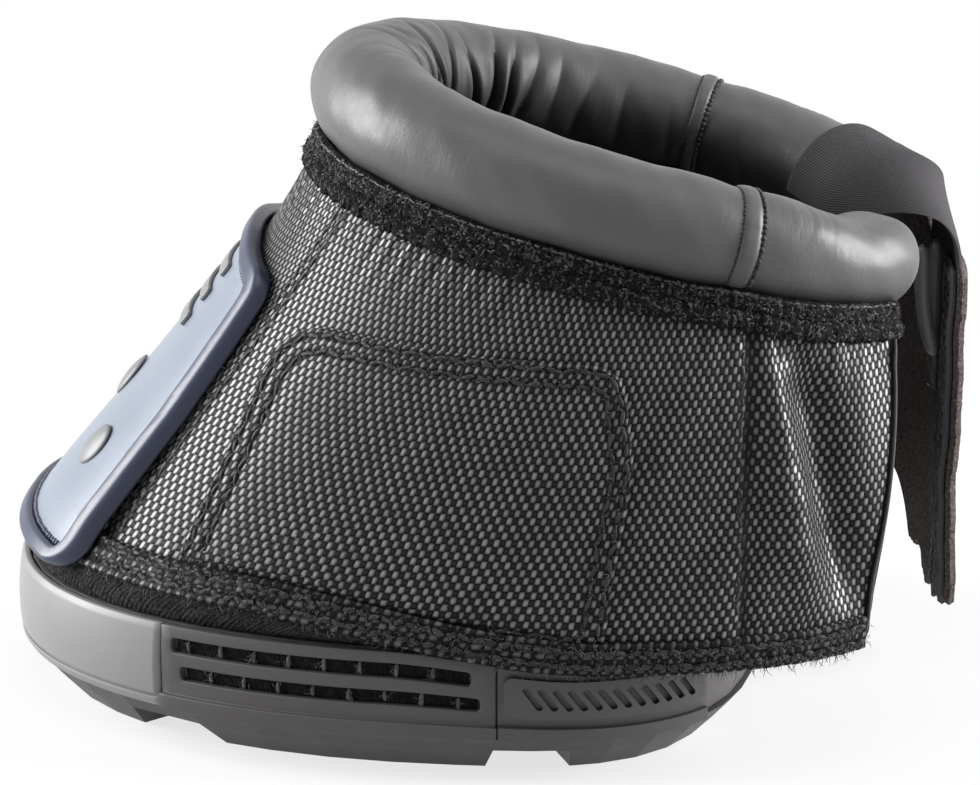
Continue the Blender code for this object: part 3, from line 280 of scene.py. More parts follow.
TAB_LENGTH = 0.0110
TAB_TOP_HEIGHT = 0.0695
TAB_SHARE = 0.62
TAB_CRUMPLE = 0.00035
HOOK_TAPE_THICKNESS = 0.0014
HOOK_TAPE_REACH_TURN = math.radians(2.6)
HOOK_TAPE_ROOT_SHARE = 0.70
HOOK_TAPE_RISES = (0.01, 0.90)
HOOKS = 1300

# Stage
CAMERA_TARGET = (0.0205, 0.0, 0.0610)
LENS = 136.0
SENSOR = 36.0

STEP_TURN = 1e-3
SOLVE_STEPS = 24
CLOTH_END_TURN = math.radians(170)

# How far a sheet's round edge reaches, as a share of its thickness
EDGE_REACH = 0.35


# Numbers on arrays

def mix(a, b, share):
    return a + (b - a) * share


def smooth(value, start, end):
    share = np.clip((value - start) / (end - start), 0, 1)
    return share * share * (3 - 2 * share)


def bell(value, width):
    return np.exp(-(value / width) ** 2)


def unit(vectors):
    return vectors / np.maximum(np.linalg.norm(vectors, axis=-1, keepdims=True), 1e-12)


def points_of(x, y, z):
    return np.stack(np.broadcast_arrays(x, y, z), -1).astype(float)


def floats(*values):
    """Arrays of one shape from numbers and arrays."""
    return [np.asarray(value, float) for value in np.broadcast_arrays(*values)]


def solve(function, low, high):
    """The arguments where rising functions cross zero."""
    low, high = np.array(low, float), np.array(high, float)
    for _ in range(SOLVE_STEPS):
        middle = (low + high) / 2
        below = function(middle) < 0
        low = np.where(below, middle, low)
        high = np.where(below, high, middle)
    return (low + high) / 2


def ripple(value, seed):
    """An uneven wave between -1 and 1 that doesn't repeat soon."""
    return (np.sin(value + seed) + 0.6 * np.sin(2.37 * value + 1.7 * seed)
            + 0.4 * np.sin(4.91 * value + 3.1 * seed)) / 2


# Surfaces that the solids are laid on

class Plan:
    """An egg-shaped plan curve with its own length to the toe and to the heel."""

    def __init__(self, centre_x, front, rear, half_width, toe_power, heel_power):
        self.centre_x = centre_x
        self.front = front
        self.rear = rear
        self.half_width = half_width
        self.toe_power = toe_power
        self.heel_power = heel_power

    def at(self, turn, inset=0.0):
        c, s = np.cos(turn), np.sin(turn)
        length = np.where(c >= 0, self.front, self.rear)
        power = np.where(c >= 0, self.toe_power, self.heel_power)
        reach = (np.abs(c) ** power + np.abs(s) ** power) ** (-1 / power)
        return self.centre_x - (length - inset) * c * reach, (self.half_width - inset) * s * reach


SOLE = Plan(0.020, 0.1025, 0.0615, 0.0715, 2.2, 3.0)
HEM = Plan(0.032, 0.1085, 0.0860, 0.0720, 2.2, 2.5)
COLLAR = Plan(0.052, 0.0570, 0.0535, 0.0470, 2.0, 2.4)


def rim_height(x):
    return mix(RIM_TOE_HEIGHT, RIM_HEEL_HEIGHT, smooth(x, *RIM_DROP_X))


def sole_point(turn, inset, height):
    x, y = SOLE.at(turn, inset)
    return points_of(x, y, height)


def sole_turn_at(x):
    return float(solve(lambda turn: SOLE.at(turn)[0] - x, 0.0, math.pi))


def collar_centre(turn):
    x, y = COLLAR.at(turn)
    toe_x = COLLAR.centre_x - COLLAR.front
    return points_of(x, y, COLLAR_TOE_HEIGHT - COLLAR_SLOPE * (x - toe_x))


def collar_along(turn):
    return unit(collar_centre(turn + STEP_TURN) - collar_centre(turn - STEP_TURN))


def collar_frame(turn):
    """The directions outwards and upwards, square to the collar's centre line."""
    along = collar_along(turn)
    across = unit(points_of(-along[..., 1], along[..., 0], 0))
    above = np.cross(across, along)
    return across, np.where(above[..., 2:] > 0, above, -above)


def collar_radius(turn):
    side = smooth(np.abs(turn), math.radians(20), math.radians(80))
    radius = mix(COLLAR_TOE_RADIUS, COLLAR_RADIUS, side)
    seam_x = np.where(turn < 0, STRIP_X[LEFT], STRIP_X[RIGHT]) + STRIP_WIDTH / 2
    from_seam = collar_centre(turn)[..., 0] - seam_x
    return radius - COLLAR_WAIST * bell(from_seam, COLLAR_WAIST_LENGTH)


def slot_angle(turn):
    side = smooth(np.abs(turn), math.radians(10), math.radians(70))
    return np.radians(mix(SLOT_TOE_ANGLE, SLOT_SIDE_ANGLE, side))


def collar_point(turn, angle, radius):
    """A point round the collar: angle 0 points outwards and 90 degrees points up."""
    across, above = collar_frame(turn)
    level = across * np.cos(angle)[..., None] + above * np.sin(angle)[..., None]
    return collar_centre(turn) + level * np.asarray(radius)[..., None]


def collar_turn_at(x):
    return float(solve(lambda turn: collar_centre(turn)[..., 0] - x, 1.0, 3.0))


def hem_height(x):
    return mix(HEM_TOE_HEIGHT, HEM_HEEL_HEIGHT, smooth(x, *HEM_DROP_X))


def hem_point(turn):
    x, y = HEM.at(turn)
    return points_of(x, y, hem_height(x))


def seam_point(turn):
    return collar_point(turn, slot_angle(turn), collar_radius(turn))


def upper_height(turn):
    return seam_point(turn)[..., 2] - hem_point(turn)[..., 2]


def wing_edge_turn(rise):
    return np.radians(mix(WING_EDGE_HEM_TURN, WING_EDGE_SEAM_TURN, rise))


def fold(turn, rise):
    """Depth of the slack folds that cross each rear wing."""
    start = math.radians(FOLD_START_TURN)
    along = (np.abs(turn) - start) / (wing_edge_turn(rise) - start)
    valley = bell(along - mix(*VALLEY_SHARES, rise), FOLD_WIDTH_SHARE)
    ridge = bell(along - mix(*RIDGE_SHARES, rise), FOLD_WIDTH_SHARE)
    ends = smooth(along, 0, 0.25) * smooth(rise, 0.04, 0.35) * smooth(1 - rise, 0.05, 0.3)
    return (FOLD_RIDGE * ridge - FOLD_DEPTH * valley) * ends


def relief(turn, rise, x):
    """Small puckers of the cloth: along the binding, beside the wing seam and over the side."""
    place = turn * 60
    head = HEAD_PUCKER * ripple(place * 1.3, 0.4) * bell(rise - 0.90, 0.10)
    foot = FOOT_PUCKER * ripple(place * 1.7, 2.1) * bell(rise - 0.04, 0.08)
    slack = SIDE_SLACK * ripple(place * 0.16 + rise * 3.0, 1.3) * smooth(np.abs(turn), 0.9, 1.7)
    slack = slack * np.sin(np.pi * np.clip(rise, 0, 1))
    pinch = SEAM_PUCKER * ripple(rise * 40, 0.9) * bell(x - WING_SEAM_X - 0.004, 0.005)
    pinch = pinch - SEAM_DIP * bell(x - WING_SEAM_X, 0.0020)
    pinch = pinch + 0.6 * fold(turn, rise)
    return head + foot + slack + pinch * smooth(rise, 0.0, 0.15) * smooth(1 - rise, 0.02, 0.12)


def wall_base(turn, rise, soft=True):
    """The upper's outer face: rise 0 at the hem and 1 at the collar seam."""
    turn, rise = np.broadcast_arrays(turn, rise)
    low, high = hem_point(turn), seam_point(turn)
    toe = np.maximum(0, np.cos(turn)) ** 2
    hump = 4 * rise * (1 - rise)
    hollow = TOE_HOLLOW * toe * np.sin(np.pi * np.clip(rise, 0, 1) ** 2)
    out = SIDE_BULGE * hump * (1 - toe) - hollow + fold(turn, rise)
    if soft:
        out = out + relief(turn, rise, mix(low, high, rise[..., None])[..., 0])
    away = points_of(-np.cos(turn), np.sin(turn), 0)
    return mix(low, high, rise[..., None]) + away * out[..., None]


def wall_normal(turn, rise, soft=True):
    around = wall_base(turn + STEP_TURN, rise, soft) - wall_base(turn - STEP_TURN, rise, soft)
    up = wall_base(turn, rise + STEP_TURN, soft) - wall_base(turn, rise - STEP_TURN, soft)
    return unit(np.cross(up, around))


def wall(turn, rise, proud, soft=True):
    """A point at a distance proud of the upper's outer face; soft adds the cloth's puckers."""
    proud = np.asarray(proud, float)[..., None]
    return wall_base(turn, rise, soft) + wall_normal(turn, rise, soft) * proud


def rise_at(turn, height):
    low, high = hem_point(turn)[..., 2], seam_point(turn)[..., 2]
    return (height - low) / (high - low)


def front_point(across, height, proud):
    """The toe's points as the solids place them, at their own distance across."""
    across, height, proud = floats(across, height, proud)

    def off(turn):
        return np.abs(wall(turn, rise_at(turn, height), proud, False)[..., 1]) - np.abs(across)
    turn = solve(off, 0.0, math.radians(110))
    turn = np.where(across < 0, -turn, turn)
    return wall(turn, rise_at(turn, height), proud, False)


def side_turn(x, height):
    """Turns of a side's points, given their places along the boot and their heights."""
    return solve(lambda turn: wall_base(turn, rise_at(turn, height))[..., 0] - x,
                 0.0, CLOTH_END_TURN)


def wall_turn_at_x(x, rise):
    return solve(lambda turn: wall_base(turn, rise)[..., 0] - x, math.radians(20), CLOTH_END_TURN)


def shield_proud(height):
    """Where the shield's inner face lies: over the hem band at its foot, close above it."""
    band_top = HEM_TOE_HEIGHT + HEM_BAND_HEIGHT + BINDING
    over = np.clip((SHIELD_MIDDLE_HEIGHT - height) / (SHIELD_MIDDLE_HEIGHT - band_top), 0, 1)
    return SEW_GAP + (HEM_BAND + GAP) * over


# Meshes from arrays

def quads(rows, columns, first=0, around=False):
    """Faces of a grid of points. around joins its last column to its first."""
    span = columns if around else columns - 1
    j, i = np.meshgrid(np.arange(rows - 1), np.arange(span), indexing="ij")
    k = (i + 1) % columns
    low, high = first + j * columns, first + (j + 1) * columns
    return np.stack([low + i, low + k, high + k, high + i], -1).reshape(-1, 4)


def volume_of(points, faces):
    total = 0.0
    for group in faces:
        corners = points[np.asarray(group)]
        for n in range(1, corners.shape[1] - 1):
            total += np.einsum("ij,ij->i", corners[:, 0],
                               np.cross(corners[:, n], corners[:, n + 1])).sum()
    return total


def build(name, points, faces, look, uv=None, sharp=50.0, dark=None):
    """A mesh object from points, groups of faces, and a UV place and a darkness for each point."""
    points = np.asarray(points, float).reshape(-1, 3)
    groups = [np.asarray(group, int) for group in faces if len(group)]
    if volume_of(points, groups) < 0:
        groups = [group[:, ::-1] for group in groups]
    mesh = bpy.data.meshes.new(name)
    mesh.from_pydata(points.tolist(), [], [face for group in groups for face in group.tolist()])
    if uv is not None:
        layer = mesh.uv_layers.new(name="weave")
        corner = np.zeros(len(mesh.loops), np.int32)
        mesh.loops.foreach_get("vertex_index", corner)
        layer.data.foreach_set("uv", np.asarray(uv, float).reshape(-1, 2)[corner].ravel())
    if dark is not None:
        mesh.attributes.new("dark", "FLOAT", "POINT").data.foreach_set("value", np.ravel(dark))
    mesh.shade_smooth()
    if sharp:
        mesh.set_sharp_from_angle(angle=math.radians(sharp))
    mesh.materials.append(finishes()[look])
    made = bpy.data.objects.new(name, mesh)
    bpy.context.scene.collection.objects.link(made)
    return made


def slab(name, outer, inner, uv, look, dark=None):
    """A closed sheet between two grids of points, with a round edge."""
    rows, columns = outer.shape[:2]
    count = rows * columns
    number = np.arange(count).reshape(rows, columns)
    ring = np.concatenate([number[0, :-1], number[:-1, -1], number[-1, :0:-1], number[:0:-1, 0]])
    middle = (outer + inner) / 2
    away = np.zeros_like(middle)
    away[0] += unit(middle[0] - middle[1])
    away[-1] += unit(middle[-1] - middle[-2])
    away[:, 0] += unit(middle[:, 0] - middle[:, 1])
    away[:, -1] += unit(middle[:, -1] - middle[:, -2])
    reach = EDGE_REACH * np.linalg.norm(outer - inner, axis=-1)[..., None]
    edge = (middle + unit(away) * reach).reshape(-1, 3)[ring]
    rim = 2 * count + np.arange(len(ring))
    after, rim_after = np.roll(ring, -1), np.roll(rim, -1)
    faces = [quads(rows, columns), quads(rows, columns, count)[:, ::-1],
             np.stack([ring, rim, rim_after, after], -1),
             np.stack([after + count, rim_after, rim, ring + count], -1)]
    points = np.concatenate([outer.reshape(-1, 3), inner.reshape(-1, 3), edge])
    uv = uv.reshape(-1, 2)
    dark = np.zeros(count) if dark is None else np.ravel(dark)
    return build(name, points, faces, look, np.concatenate([uv, uv, uv[ring]]),
                 dark=np.concatenate([dark, dark, dark[ring]]))


def rod(name, rings, look, uv=None, dark=None):
    """A solid through rings of points, closed by a fan at each end."""
    rows, columns = rings.shape[:2]
    points = np.concatenate([rings.reshape(-1, 3), [rings[0].mean(0), rings[-1].mean(0)]])
    count = rows * columns
    first = np.arange(columns)
    last, after = first + count - columns, np.roll(first, -1)
    low = np.stack([np.full(columns, count), after, first], -1)
    high = np.stack([np.full(columns, count + 1), last, np.roll(last, -1)], -1)
    if uv is not None:
        uv = np.concatenate([uv.reshape(-1, 2), uv[0, :1], uv[-1, :1]])
    if dark is not None:
        dark = np.concatenate([np.ravel(dark), np.zeros(2)])
    return build(name, points, [quads(rows, columns, 0, True), low, high], look, uv, dark=dark)


def ovals(centre, across, above, wide, high, sides):
    """Oval rings round a line of points."""
    angle = np.linspace(0, 2 * np.pi, sides, endpoint=False)
    return centre[:, None] + across[:, None] * (np.cos(angle) * wide)[..., None] \
        + above[:, None] * (np.sin(angle) * high)[..., None]


def lengths_along(points):
    steps = np.linalg.norm(np.diff(points, axis=0), axis=-1)
    return np.concatenate([[0], np.cumsum(steps)])


def along_at(marks, length, values):
    """Values at marks along a line, given its lengths so far and its points' values."""
    return np.stack([np.interp(marks, length, column) for column in values.T], -1)


def area_of(grid):
    first = np.cross(grid[1:, :-1] - grid[:-1, :-1], grid[:-1, 1:] - grid[:-1, :-1])
    second = np.cross(grid[1:, :-1] - grid[1:, 1:], grid[:-1, 1:] - grid[1:, 1:])
    return (np.linalg.norm(first, axis=-1).sum() + np.linalg.norm(second, axis=-1).sum()) / 2


def cut_cloth(grid):
    """Works out a sewn sheet's area and the size that it was cut to, and keeps neither."""
    width, length = (max(lengths_along(line)[-1] for line in lines[::max(1, len(lines) // 8)])
                     for lines in (grid, grid.swapaxes(0, 1)))
    min(area_of(grid), width * length)


def hold(piece, body, *nodes):
    """Rides a piece on a body and hides the solids that it stands for."""
    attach(piece, body)
    if nodes:
        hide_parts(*nodes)
    return piece


def bend(piece, word, *nodes):
    """Bakes a piece's place into its mesh and hides the solids that it stands for."""
    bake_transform(piece)
    if nodes:
        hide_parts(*nodes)
    return piece


# Stitches and loose threads

def copies(name, template, faces, centres, ways, normals, scales, look, shades):
    """One mesh of many copies of a small shape, laid along ways with its top along normals."""
    ways, normals = unit(ways), unit(normals)
    sides = unit(np.cross(normals, ways))
    normals = np.cross(ways, sides)
    axes = np.stack([ways, sides, normals], 1)
    local = template[None] * scales[:, None, :]
    points = centres[:, None] + np.einsum("nvk,nkc->nvc", local, axes)
    start = (np.arange(len(centres)) * len(template))[:, None, None]
    groups = [(group[None] + start).reshape(-1, group.shape[1]) for group in faces]
    uv = np.stack([np.repeat(shades, len(template)), np.tile(template[:, 0], len(centres))], -1)
    return build(name, points, groups, look, uv, sharp=0)


# Places along a stitch, with its width there as a share
BEAD_RINGS = ((-0.5, 0.35), (-0.3, 0.9), (0.1, 1.0), (0.42, 0.6))
BEAD_SIDES = 6


def bead_shape(sag=0.5):
    """A stitch from -0.5 to 0.5 along X, half a unit in radius, with its ends tucked down."""
    angle = np.linspace(0, 2 * np.pi, BEAD_SIDES, endpoint=False)
    points = [(x, reach / 2 * math.cos(a), reach / 2 * math.sin(a) - sag * 4 * x * x)
              for x, reach in BEAD_RINGS for a in angle]
    number = np.arange(len(points))
    ends = np.array([number[BEAD_SIDES - 1::-1], number[-BEAD_SIDES:]])
    return np.array(points), [quads(len(BEAD_RINGS), BEAD_SIDES, 0, True)[:, ::-1], ends]


def stitch_row(points, normals, pitch):
    """Centres, ways and normals of stitches along a line of points."""
    length = lengths_along(points)
    count = max(2, int(length[-1] / pitch))
    marks = (np.arange(count) + 0.5) * length[-1] / count
    half = length[-1] / count * STITCH_SHARE / 2
    ways = along_at(marks + half, length, points) - along_at(marks - half, length, points)
    return along_at(marks, length, points), ways, along_at(marks, length, normals)


def sew(name, lines, pitch, size, look, seed, tilt):
    """Stitches along several lines, each (points, normals)."""
    rows = [stitch_row(points, normals, pitch) for points, normals in lines]
    centres, ways, normals = (np.concatenate(group) for group in zip(*rows))
    pick = np.random.default_rng(seed)
    ways = unit(ways)
    sides = np.cross(unit(normals), ways)
    lean = tilt * np.where(np.arange(len(ways)) % 2, 1, -1) + pick.normal(0, 0.06, len(ways))
    ways = ways + sides * lean[:, None]
    uneven = pick.uniform(0.88, 1.12, (len(centres), 1))
    scales = np.array([pitch * 0.88, size, size * 0.8]) * uneven
    return copies(name, *bead_shape(), centres, ways, normals, scales, look,
                  pick.uniform(0, 1, len(centres)))


def threads(name, roots, ways, lengths, radius, look, seed, curl=0.6):
    """Short bent threads, each a three-sided prism in two lengths, as one mesh."""
    pick = np.random.default_rng(seed)
    ways = unit(ways)
    side = unit(np.cross(ways, unit(pick.normal(0, 1, ways.shape))))
    other = np.cross(ways, side)
    along = np.array([0.0, 0.4, 0.75, 1.0])
    thin = np.array([1.0, 0.95, 0.7, 0.25])
    reach = lengths[:, None, None]
    centre = roots[:, None] + ways[:, None] * along[:, None] * reach
    centre = centre + side[:, None] * (curl * along ** 2)[:, None] * reach
    centre = centre + other[:, None] * (0.35 * curl * np.sin(along * 4))[:, None] * reach
    angle = np.linspace(0, 2 * np.pi, 3, endpoint=False)
    ring = side[:, None] * np.cos(angle)[:, None] + other[:, None] * np.sin(angle)[:, None]
    points = centre[:, :, None] + ring[:, None] * (radius * thin)[:, None, None]
    start = (np.arange(len(roots)) * 12)[:, None, None]
    body = (quads(4, 3, 0, True)[None] + start).reshape(-1, 4)
    caps = (np.array([[2, 1, 0], [9, 10, 11]])[None] + start).reshape(-1, 3)
    shades = np.repeat(pick.uniform(0, 1, len(roots)), 12)
    uv = np.stack([shades, np.tile(np.repeat(along, 3), len(roots))], -1)
    return build(name, points, [body, caps], look, uv, sharp=0)


# Materials

class Wire:
    """One output of a material's nodes, which sums join to Math nodes."""

    def __init__(self, tree, socket):
        self.tree = tree
        self.socket = socket

    def sum(self, operation, *values):
        inputs = dict(enumerate((self,) + values))
        return node(self.tree, "ShaderNodeMath", inputs, operation=operation)

    def __add__(self, other):
        return self.sum("ADD", other)

    __radd__ = __add__

    def __sub__(self, other):
        return self.sum("SUBTRACT", other)

    def __rsub__(self, other):
        return (self * -1) + other

    def __mul__(self, other):
        return self.sum("MULTIPLY", other)

    __rmul__ = __mul__

    def __truediv__(self, other):
        return self.sum("DIVIDE", other)

    def __pow__(self, other):
        return self.sum("POWER", other)

    def floor(self):
        return self.sum("FLOOR")

    def clip(self):
        return self.sum("MAXIMUM", 0.0).sum("MINIMUM", 1.0)


def node(tree, kind, inputs=(), out=0, **settings):
    """A new node with its settings, then its inputs; the wire from one of its outputs."""
    made = tree.nodes.new(kind)
    for name, value in settings.items():
        setattr(made, name, value)
    for name, value in dict(inputs).items():
        socket = made.inputs[name]
        if isinstance(value, Wire):
            tree.links.new(value.socket, socket)
        elif isinstance(value, tuple) and len(value) == 3 and socket.type == "RGBA":
            socket.default_value = (*value, 1)
        else:
            socket.default_value = value
    return Wire(tree, made.outputs[out])


class Finish:
    """A material under construction, with one Principled shader."""

    def __init__(self, name, roughness, specular, sheen=0.0):
        self.material = bpy.data.materials.new(name)
        self.material.use_nodes = True
        self.tree = self.material.node_tree
        self.shader = self.tree.nodes["Principled BSDF"]
        self.shader.inputs["Roughness"].default_value = roughness
        self.shader.inputs["Sheen Weight"].default_value = sheen
        self.shader.inputs["Specular IOR Level"].default_value = specular
        place = self.tree.nodes.new("ShaderNodeTexCoord")
        self.place = Wire(self.tree, place.outputs["Object"])
        self.uv = Wire(self.tree, place.outputs["UV"])

    def node(self, kind, inputs=(), out=0, **settings):
        return node(self.tree, kind, inputs, out, **settings)

    def split(self, vector):
        wire = self.node("ShaderNodeSeparateXYZ", {0: vector})
        parts = wire.socket.node.outputs
        return [Wire(self.tree, parts[k]) for k in range(3)]

    def join(self, x, y, z):
        return self.node("ShaderNodeCombineXYZ", {0: x, 1: y, 2: z})

    def noise(self, scale, detail=2.0, rough=0.5, vector=None):
        return self.node("ShaderNodeTexNoise", {"Vector": vector or self.place, "Scale": scale,
                                                "Detail": detail, "Roughness": rough})

    def darkness(self):
        """The darkness written on the mesh's points: painted shade, and on the hem band an overall
        darkening as well.
        """
        return self.node("ShaderNodeAttribute", out="Fac", attribute_name="dark")

    def blend(self, factor, a, b):
        return self.node("ShaderNodeMix", {0: factor, 6: a, 7: b}, out=2, data_type="RGBA")

    def feed(self, name, wire):
        self.tree.links.new(wire.socket, self.shader.inputs[name])

    def bump(self, *layers):
        """Chained bumps, each (height wire, distance in metres, strength)."""
        normal = None
        for height, distance, strength in layers:
            inputs = {"Height": height, "Distance": distance, "Strength": strength}
            if normal is not None:
                inputs["Normal"] = normal
            normal = self.node("ShaderNodeBump", inputs)
        self.feed("Normal", normal)


def nylon_finish(settings):
    """Coarse basket-woven nylon: upright floats over lower yarns, with painted highlight on the
    floats' crowns and painted shade on the lower yarns and between them.
    """
    finish = Finish("ballistic_nylon", roughness=0.5, specular=0.08)
    u, v, _ = finish.split(finish.uv)
    x = u / settings.weave_width
    y = v / settings.weave_height
    x = x + y * settings.weave_lean
    column, row = x.floor(), y.floor()
    fx = x - column - 0.5
    fy = y - row - 0.5
    over = (column + row).sum("MODULO", 2.0).sum("ABSOLUTE").sum("LESS_THAN", 0.5)
    warp = (1 - (fx * 1.7) ** 2.0).clip() * (1 - (fy * 1.45) ** 2.0).clip()
    weft = (1 - (fy * 2.2) ** 2.0).clip() * (0.75 - (fx * 1.6) ** 2.0).clip() * 0.32
    lift = over * warp + (1 - over) * weft
    yarn = finish.node("ShaderNodeTexWhiteNoise", {"Vector": finish.join(column, row, 0.0)},
                       noise_dimensions="3D")
    wear = finish.noise(70.0, 3.0)
    # The colour follows the yarns' height: painted highlight on the crowns, painted shade on the
    # lower yarns and in the gaps. The written darkness adds painted shade along seams and grooves
    # and takes the coat's gloss away there.
    shade = (lift ** 2.0) * (0.65 + yarn * 0.7) * (0.75 + wear * 0.7)
    lit = 1 - finish.darkness()
    dark, light = tuple(settings.nylon_dark), tuple(settings.nylon_crown_highlight)
    finish.feed("Base Color", finish.blend((shade * lit).clip(), dark, light))
    finish.feed("Roughness", 0.62 - lift * 0.22)
    finish.feed("Coat Weight", (lift * 1.3 - 0.2).clip() * lit)
    finish.shader.inputs["Coat Roughness"].default_value = 0.34
    fibre = finish.noise(1.0, 2.0, vector=finish.join(u * 9000.0, v * 1200.0, 0.0))
    finish.bump((lift, settings.weave_depth, 1.0), (fibre, 0.00006, 0.5))
    return finish.material


def thread_finish(name, dark, light, roughness=0.55):
    """Thread whose shade is set by each stitch's own UV place."""
    finish = Finish(name, roughness=roughness, sheen=0.1, specular=0.25)
    u, _, _ = finish.split(finish.uv)
    twist = finish.noise(2600.0, 1.0)
    finish.feed("Base Color", finish.blend((u * 0.8 + twist * 0.3).clip(), dark, light))
    finish.bump((twist, 0.00008, 0.7))
    return finish.material


def cloth_finish(name, dark, light, scale, depth):
    """Plain matt cloth with a fuzzy surface."""
    finish = Finish(name, roughness=0.9, specular=0.06)
    fuzz = finish.noise(scale, 4.0, 0.7)
    drift = finish.noise(60.0, 2.0)
    shade = ((fuzz - 0.35) * 1.6 * (0.6 + drift)).clip()
    finish.feed("Base Color", finish.blend(shade, dark, light))
    finish.bump((fuzz, depth, 1.0))
    return finish.material


def leather_finish(settings):
    """Smooth matt leather with a fine grain and stretch lines."""
    finish = Finish("collar_leather", roughness=settings.leather_roughness, specular=0.32)
    u, v, _ = finish.split(finish.uv)
    grain = finish.node("ShaderNodeTexVoronoi", {"Vector": finish.place, "Scale": 1900.0})
    soft = finish.noise(420.0, 3.0)
    lines = finish.noise(1.0, 2.0, vector=finish.join(u * 800.0, v * 90.0, 0.0))
    tone = finish.noise(38.0, 2.0)
    base = tuple(settings.leather_colour)
    low = tuple(c * 0.82 for c in base)
    high = tuple(c * 1.12 for c in base)
    skin = finish.blend((tone * 0.8 + grain * 0.25).clip(), low, high)
    # Painted shade: the darkness written on the collar's points takes the leather almost to black
    # in its creases, down its inner face and under it, and makes it rougher there
    dark = finish.darkness()
    finish.feed("Base Color", finish.blend(dark, skin, tuple(c * 0.03 for c in base)))
    finish.feed("Roughness", settings.leather_roughness - 0.08 + soft * 0.16 + dark * 0.25)
    finish.bump((lines, 0.00014, 0.4), (soft, 0.00008, 0.4), (grain, 0.00003, 0.6))
    return finish.material


def rubber_finish(name, colour, roughness, speckle=0.5):
    """Moulded rubber with a faint sparkle of texture and roughness that varies at random."""
    finish = Finish(name, roughness=roughness, specular=0.4)
    fine = finish.noise(2400.0, 3.0, 0.6)
    broad = finish.noise(45.0, 3.0)
    scuff = finish.noise(160.0, 5.0, 0.7)
    low = tuple(c * 0.88 for c in colour)
    high = tuple(c * 1.14 for c in colour)
    finish.feed("Base Color", finish.blend((broad * 0.7 + fine * 0.3).clip(), low, high))
    finish.feed("Roughness", roughness - 0.10 + scuff * 0.22)
    finish.bump((fine, 0.00004, speckle), (broad, 0.0003, 0.15))
    return finish.material


def twill_finish(settings):
    """Ribbed twill tape: fine ridges that run along the band."""
    finish = Finish("band_twill", roughness=0.78, specular=0.12)
    u, v, _ = finish.split(finish.uv)
    rib = ((u / settings.twill_pitch) * (2 * math.pi)).sum("SINE") * 0.5 + 0.5
    cross = (((v + u * 0.7) / (settings.twill_pitch * 0.8)) * (2 * math.pi)).sum("SINE") * 0.5 + 0.5
    lift = rib * (0.65 + cross * 0.35)
    fuzz = finish.noise(1800.0, 3.0, 0.7)
    finish.feed("Base Color", finish.blend((lift * 0.7 + fuzz * 0.3).clip(), (0.014, 0.013, 0.014),
                                           (0.105, 0.100, 0.106)))
    finish.bump((lift, 0.00012, 0.9), (fuzz, 0.00008, 0.7))
    return finish.material


@functools.cache
def finishes():
    """The boot's materials, made once."""
    cloth = bpy.context.scene.boot_cloth
    hard = bpy.context.scene.boot_mouldings
    made = {
        "nylon": nylon_finish(cloth),
        "leather": leather_finish(bpy.context.scene.boot_collar),
        "thread": thread_finish("sewing_thread", (0.010, 0.009, 0.010), (0.10, 0.095, 0.095)),
        "dark_thread": thread_finish("dark_thread", (0.003, 0.003, 0.003), (0.026, 0.024, 0.025)),
        "knurl": thread_finish("shield_knurl", (0.004, 0.005, 0.012), (0.05, 0.06, 0.11), 0.35),
        "fuzz": thread_finish("binding_fuzz", (0.003, 0.003, 0.003), (0.062, 0.056, 0.058), 0.75),
        "binding": cloth_finish("binding_tape", (0.003, 0.003, 0.003), (0.028, 0.025, 0.026),
                                1300.0, 0.0003),
        "lining": cloth_finish("lining_pile", (0.001, 0.001, 0.0011), (0.005, 0.0047, 0.0047),
                               1400.0, 0.0003),
        "frill": cloth_finish("frayed_lining", (0.005, 0.005, 0.005), (0.075, 0.068, 0.070),
                              1500.0, 0.0003),
        "loop": cloth_finish("loop_pile", (0.028, 0.0235, 0.023), (0.24, 0.195, 0.188),
                             1600.0, 0.00035),
        "hooks": thread_finish("hook_pile", (0.05, 0.035, 0.024), (0.32, 0.25, 0.19), 0.6),
        "hook_base": cloth_finish("hook_backing", (0.02, 0.016, 0.013), (0.08, 0.065, 0.052),
                                  1500.0, 0.0002),
        "twill": twill_finish(cloth),
        "foam": cloth_finish("insole_foam", (0.02, 0.02, 0.022), (0.05, 0.05, 0.055),
                             900.0, 0.0002),
        # The toe wall is the side frames' rubber written lighter: painted light from the left
        "toe": rubber_finish("toe_wall", tuple(hard.toe_colour_and_light), hard.toe_roughness, 0.3),
        "sole": rubber_finish("sole_mould", tuple(hard.sole_colour), hard.sole_roughness),
        "tread": rubber_finish("tread_rubber", tuple(hard.tread_colour), 0.55),
        "plate": rubber_finish("shield_face", tuple(hard.shield_colour), 0.34, 0.25),
        "rim": rubber_finish("shield_border", tuple(hard.rim_colour), 0.32, 0.25),
        "stud": rubber_finish("shield_grey", (0.135, 0.139, 0.142), 0.40, 0.4),
    }
    made["hem"] = made["nylon"]
    return made


# Modelling by operators

def only(piece):
    """Selects one object alone and makes it active."""
    bpy.ops.object.select_all(action="DESELECT")
    piece.select_set(True)
    bpy.context.view_layer.objects.active = piece


def start_cube(name, low, high):
    """A box between two corners, left in edit mode."""
    bpy.ops.object.select_all(action="DESELECT")
    middle = [(a + b) / 2 for a, b in zip(low, high)]
    bpy.ops.mesh.primitive_cube_add(size=1, location=middle)
    piece = bpy.context.object
    piece.name = name
    bpy.ops.object.mode_set(mode="EDIT")
    bpy.ops.transform.resize(value=[b - a for a, b in zip(low, high)])
    return piece


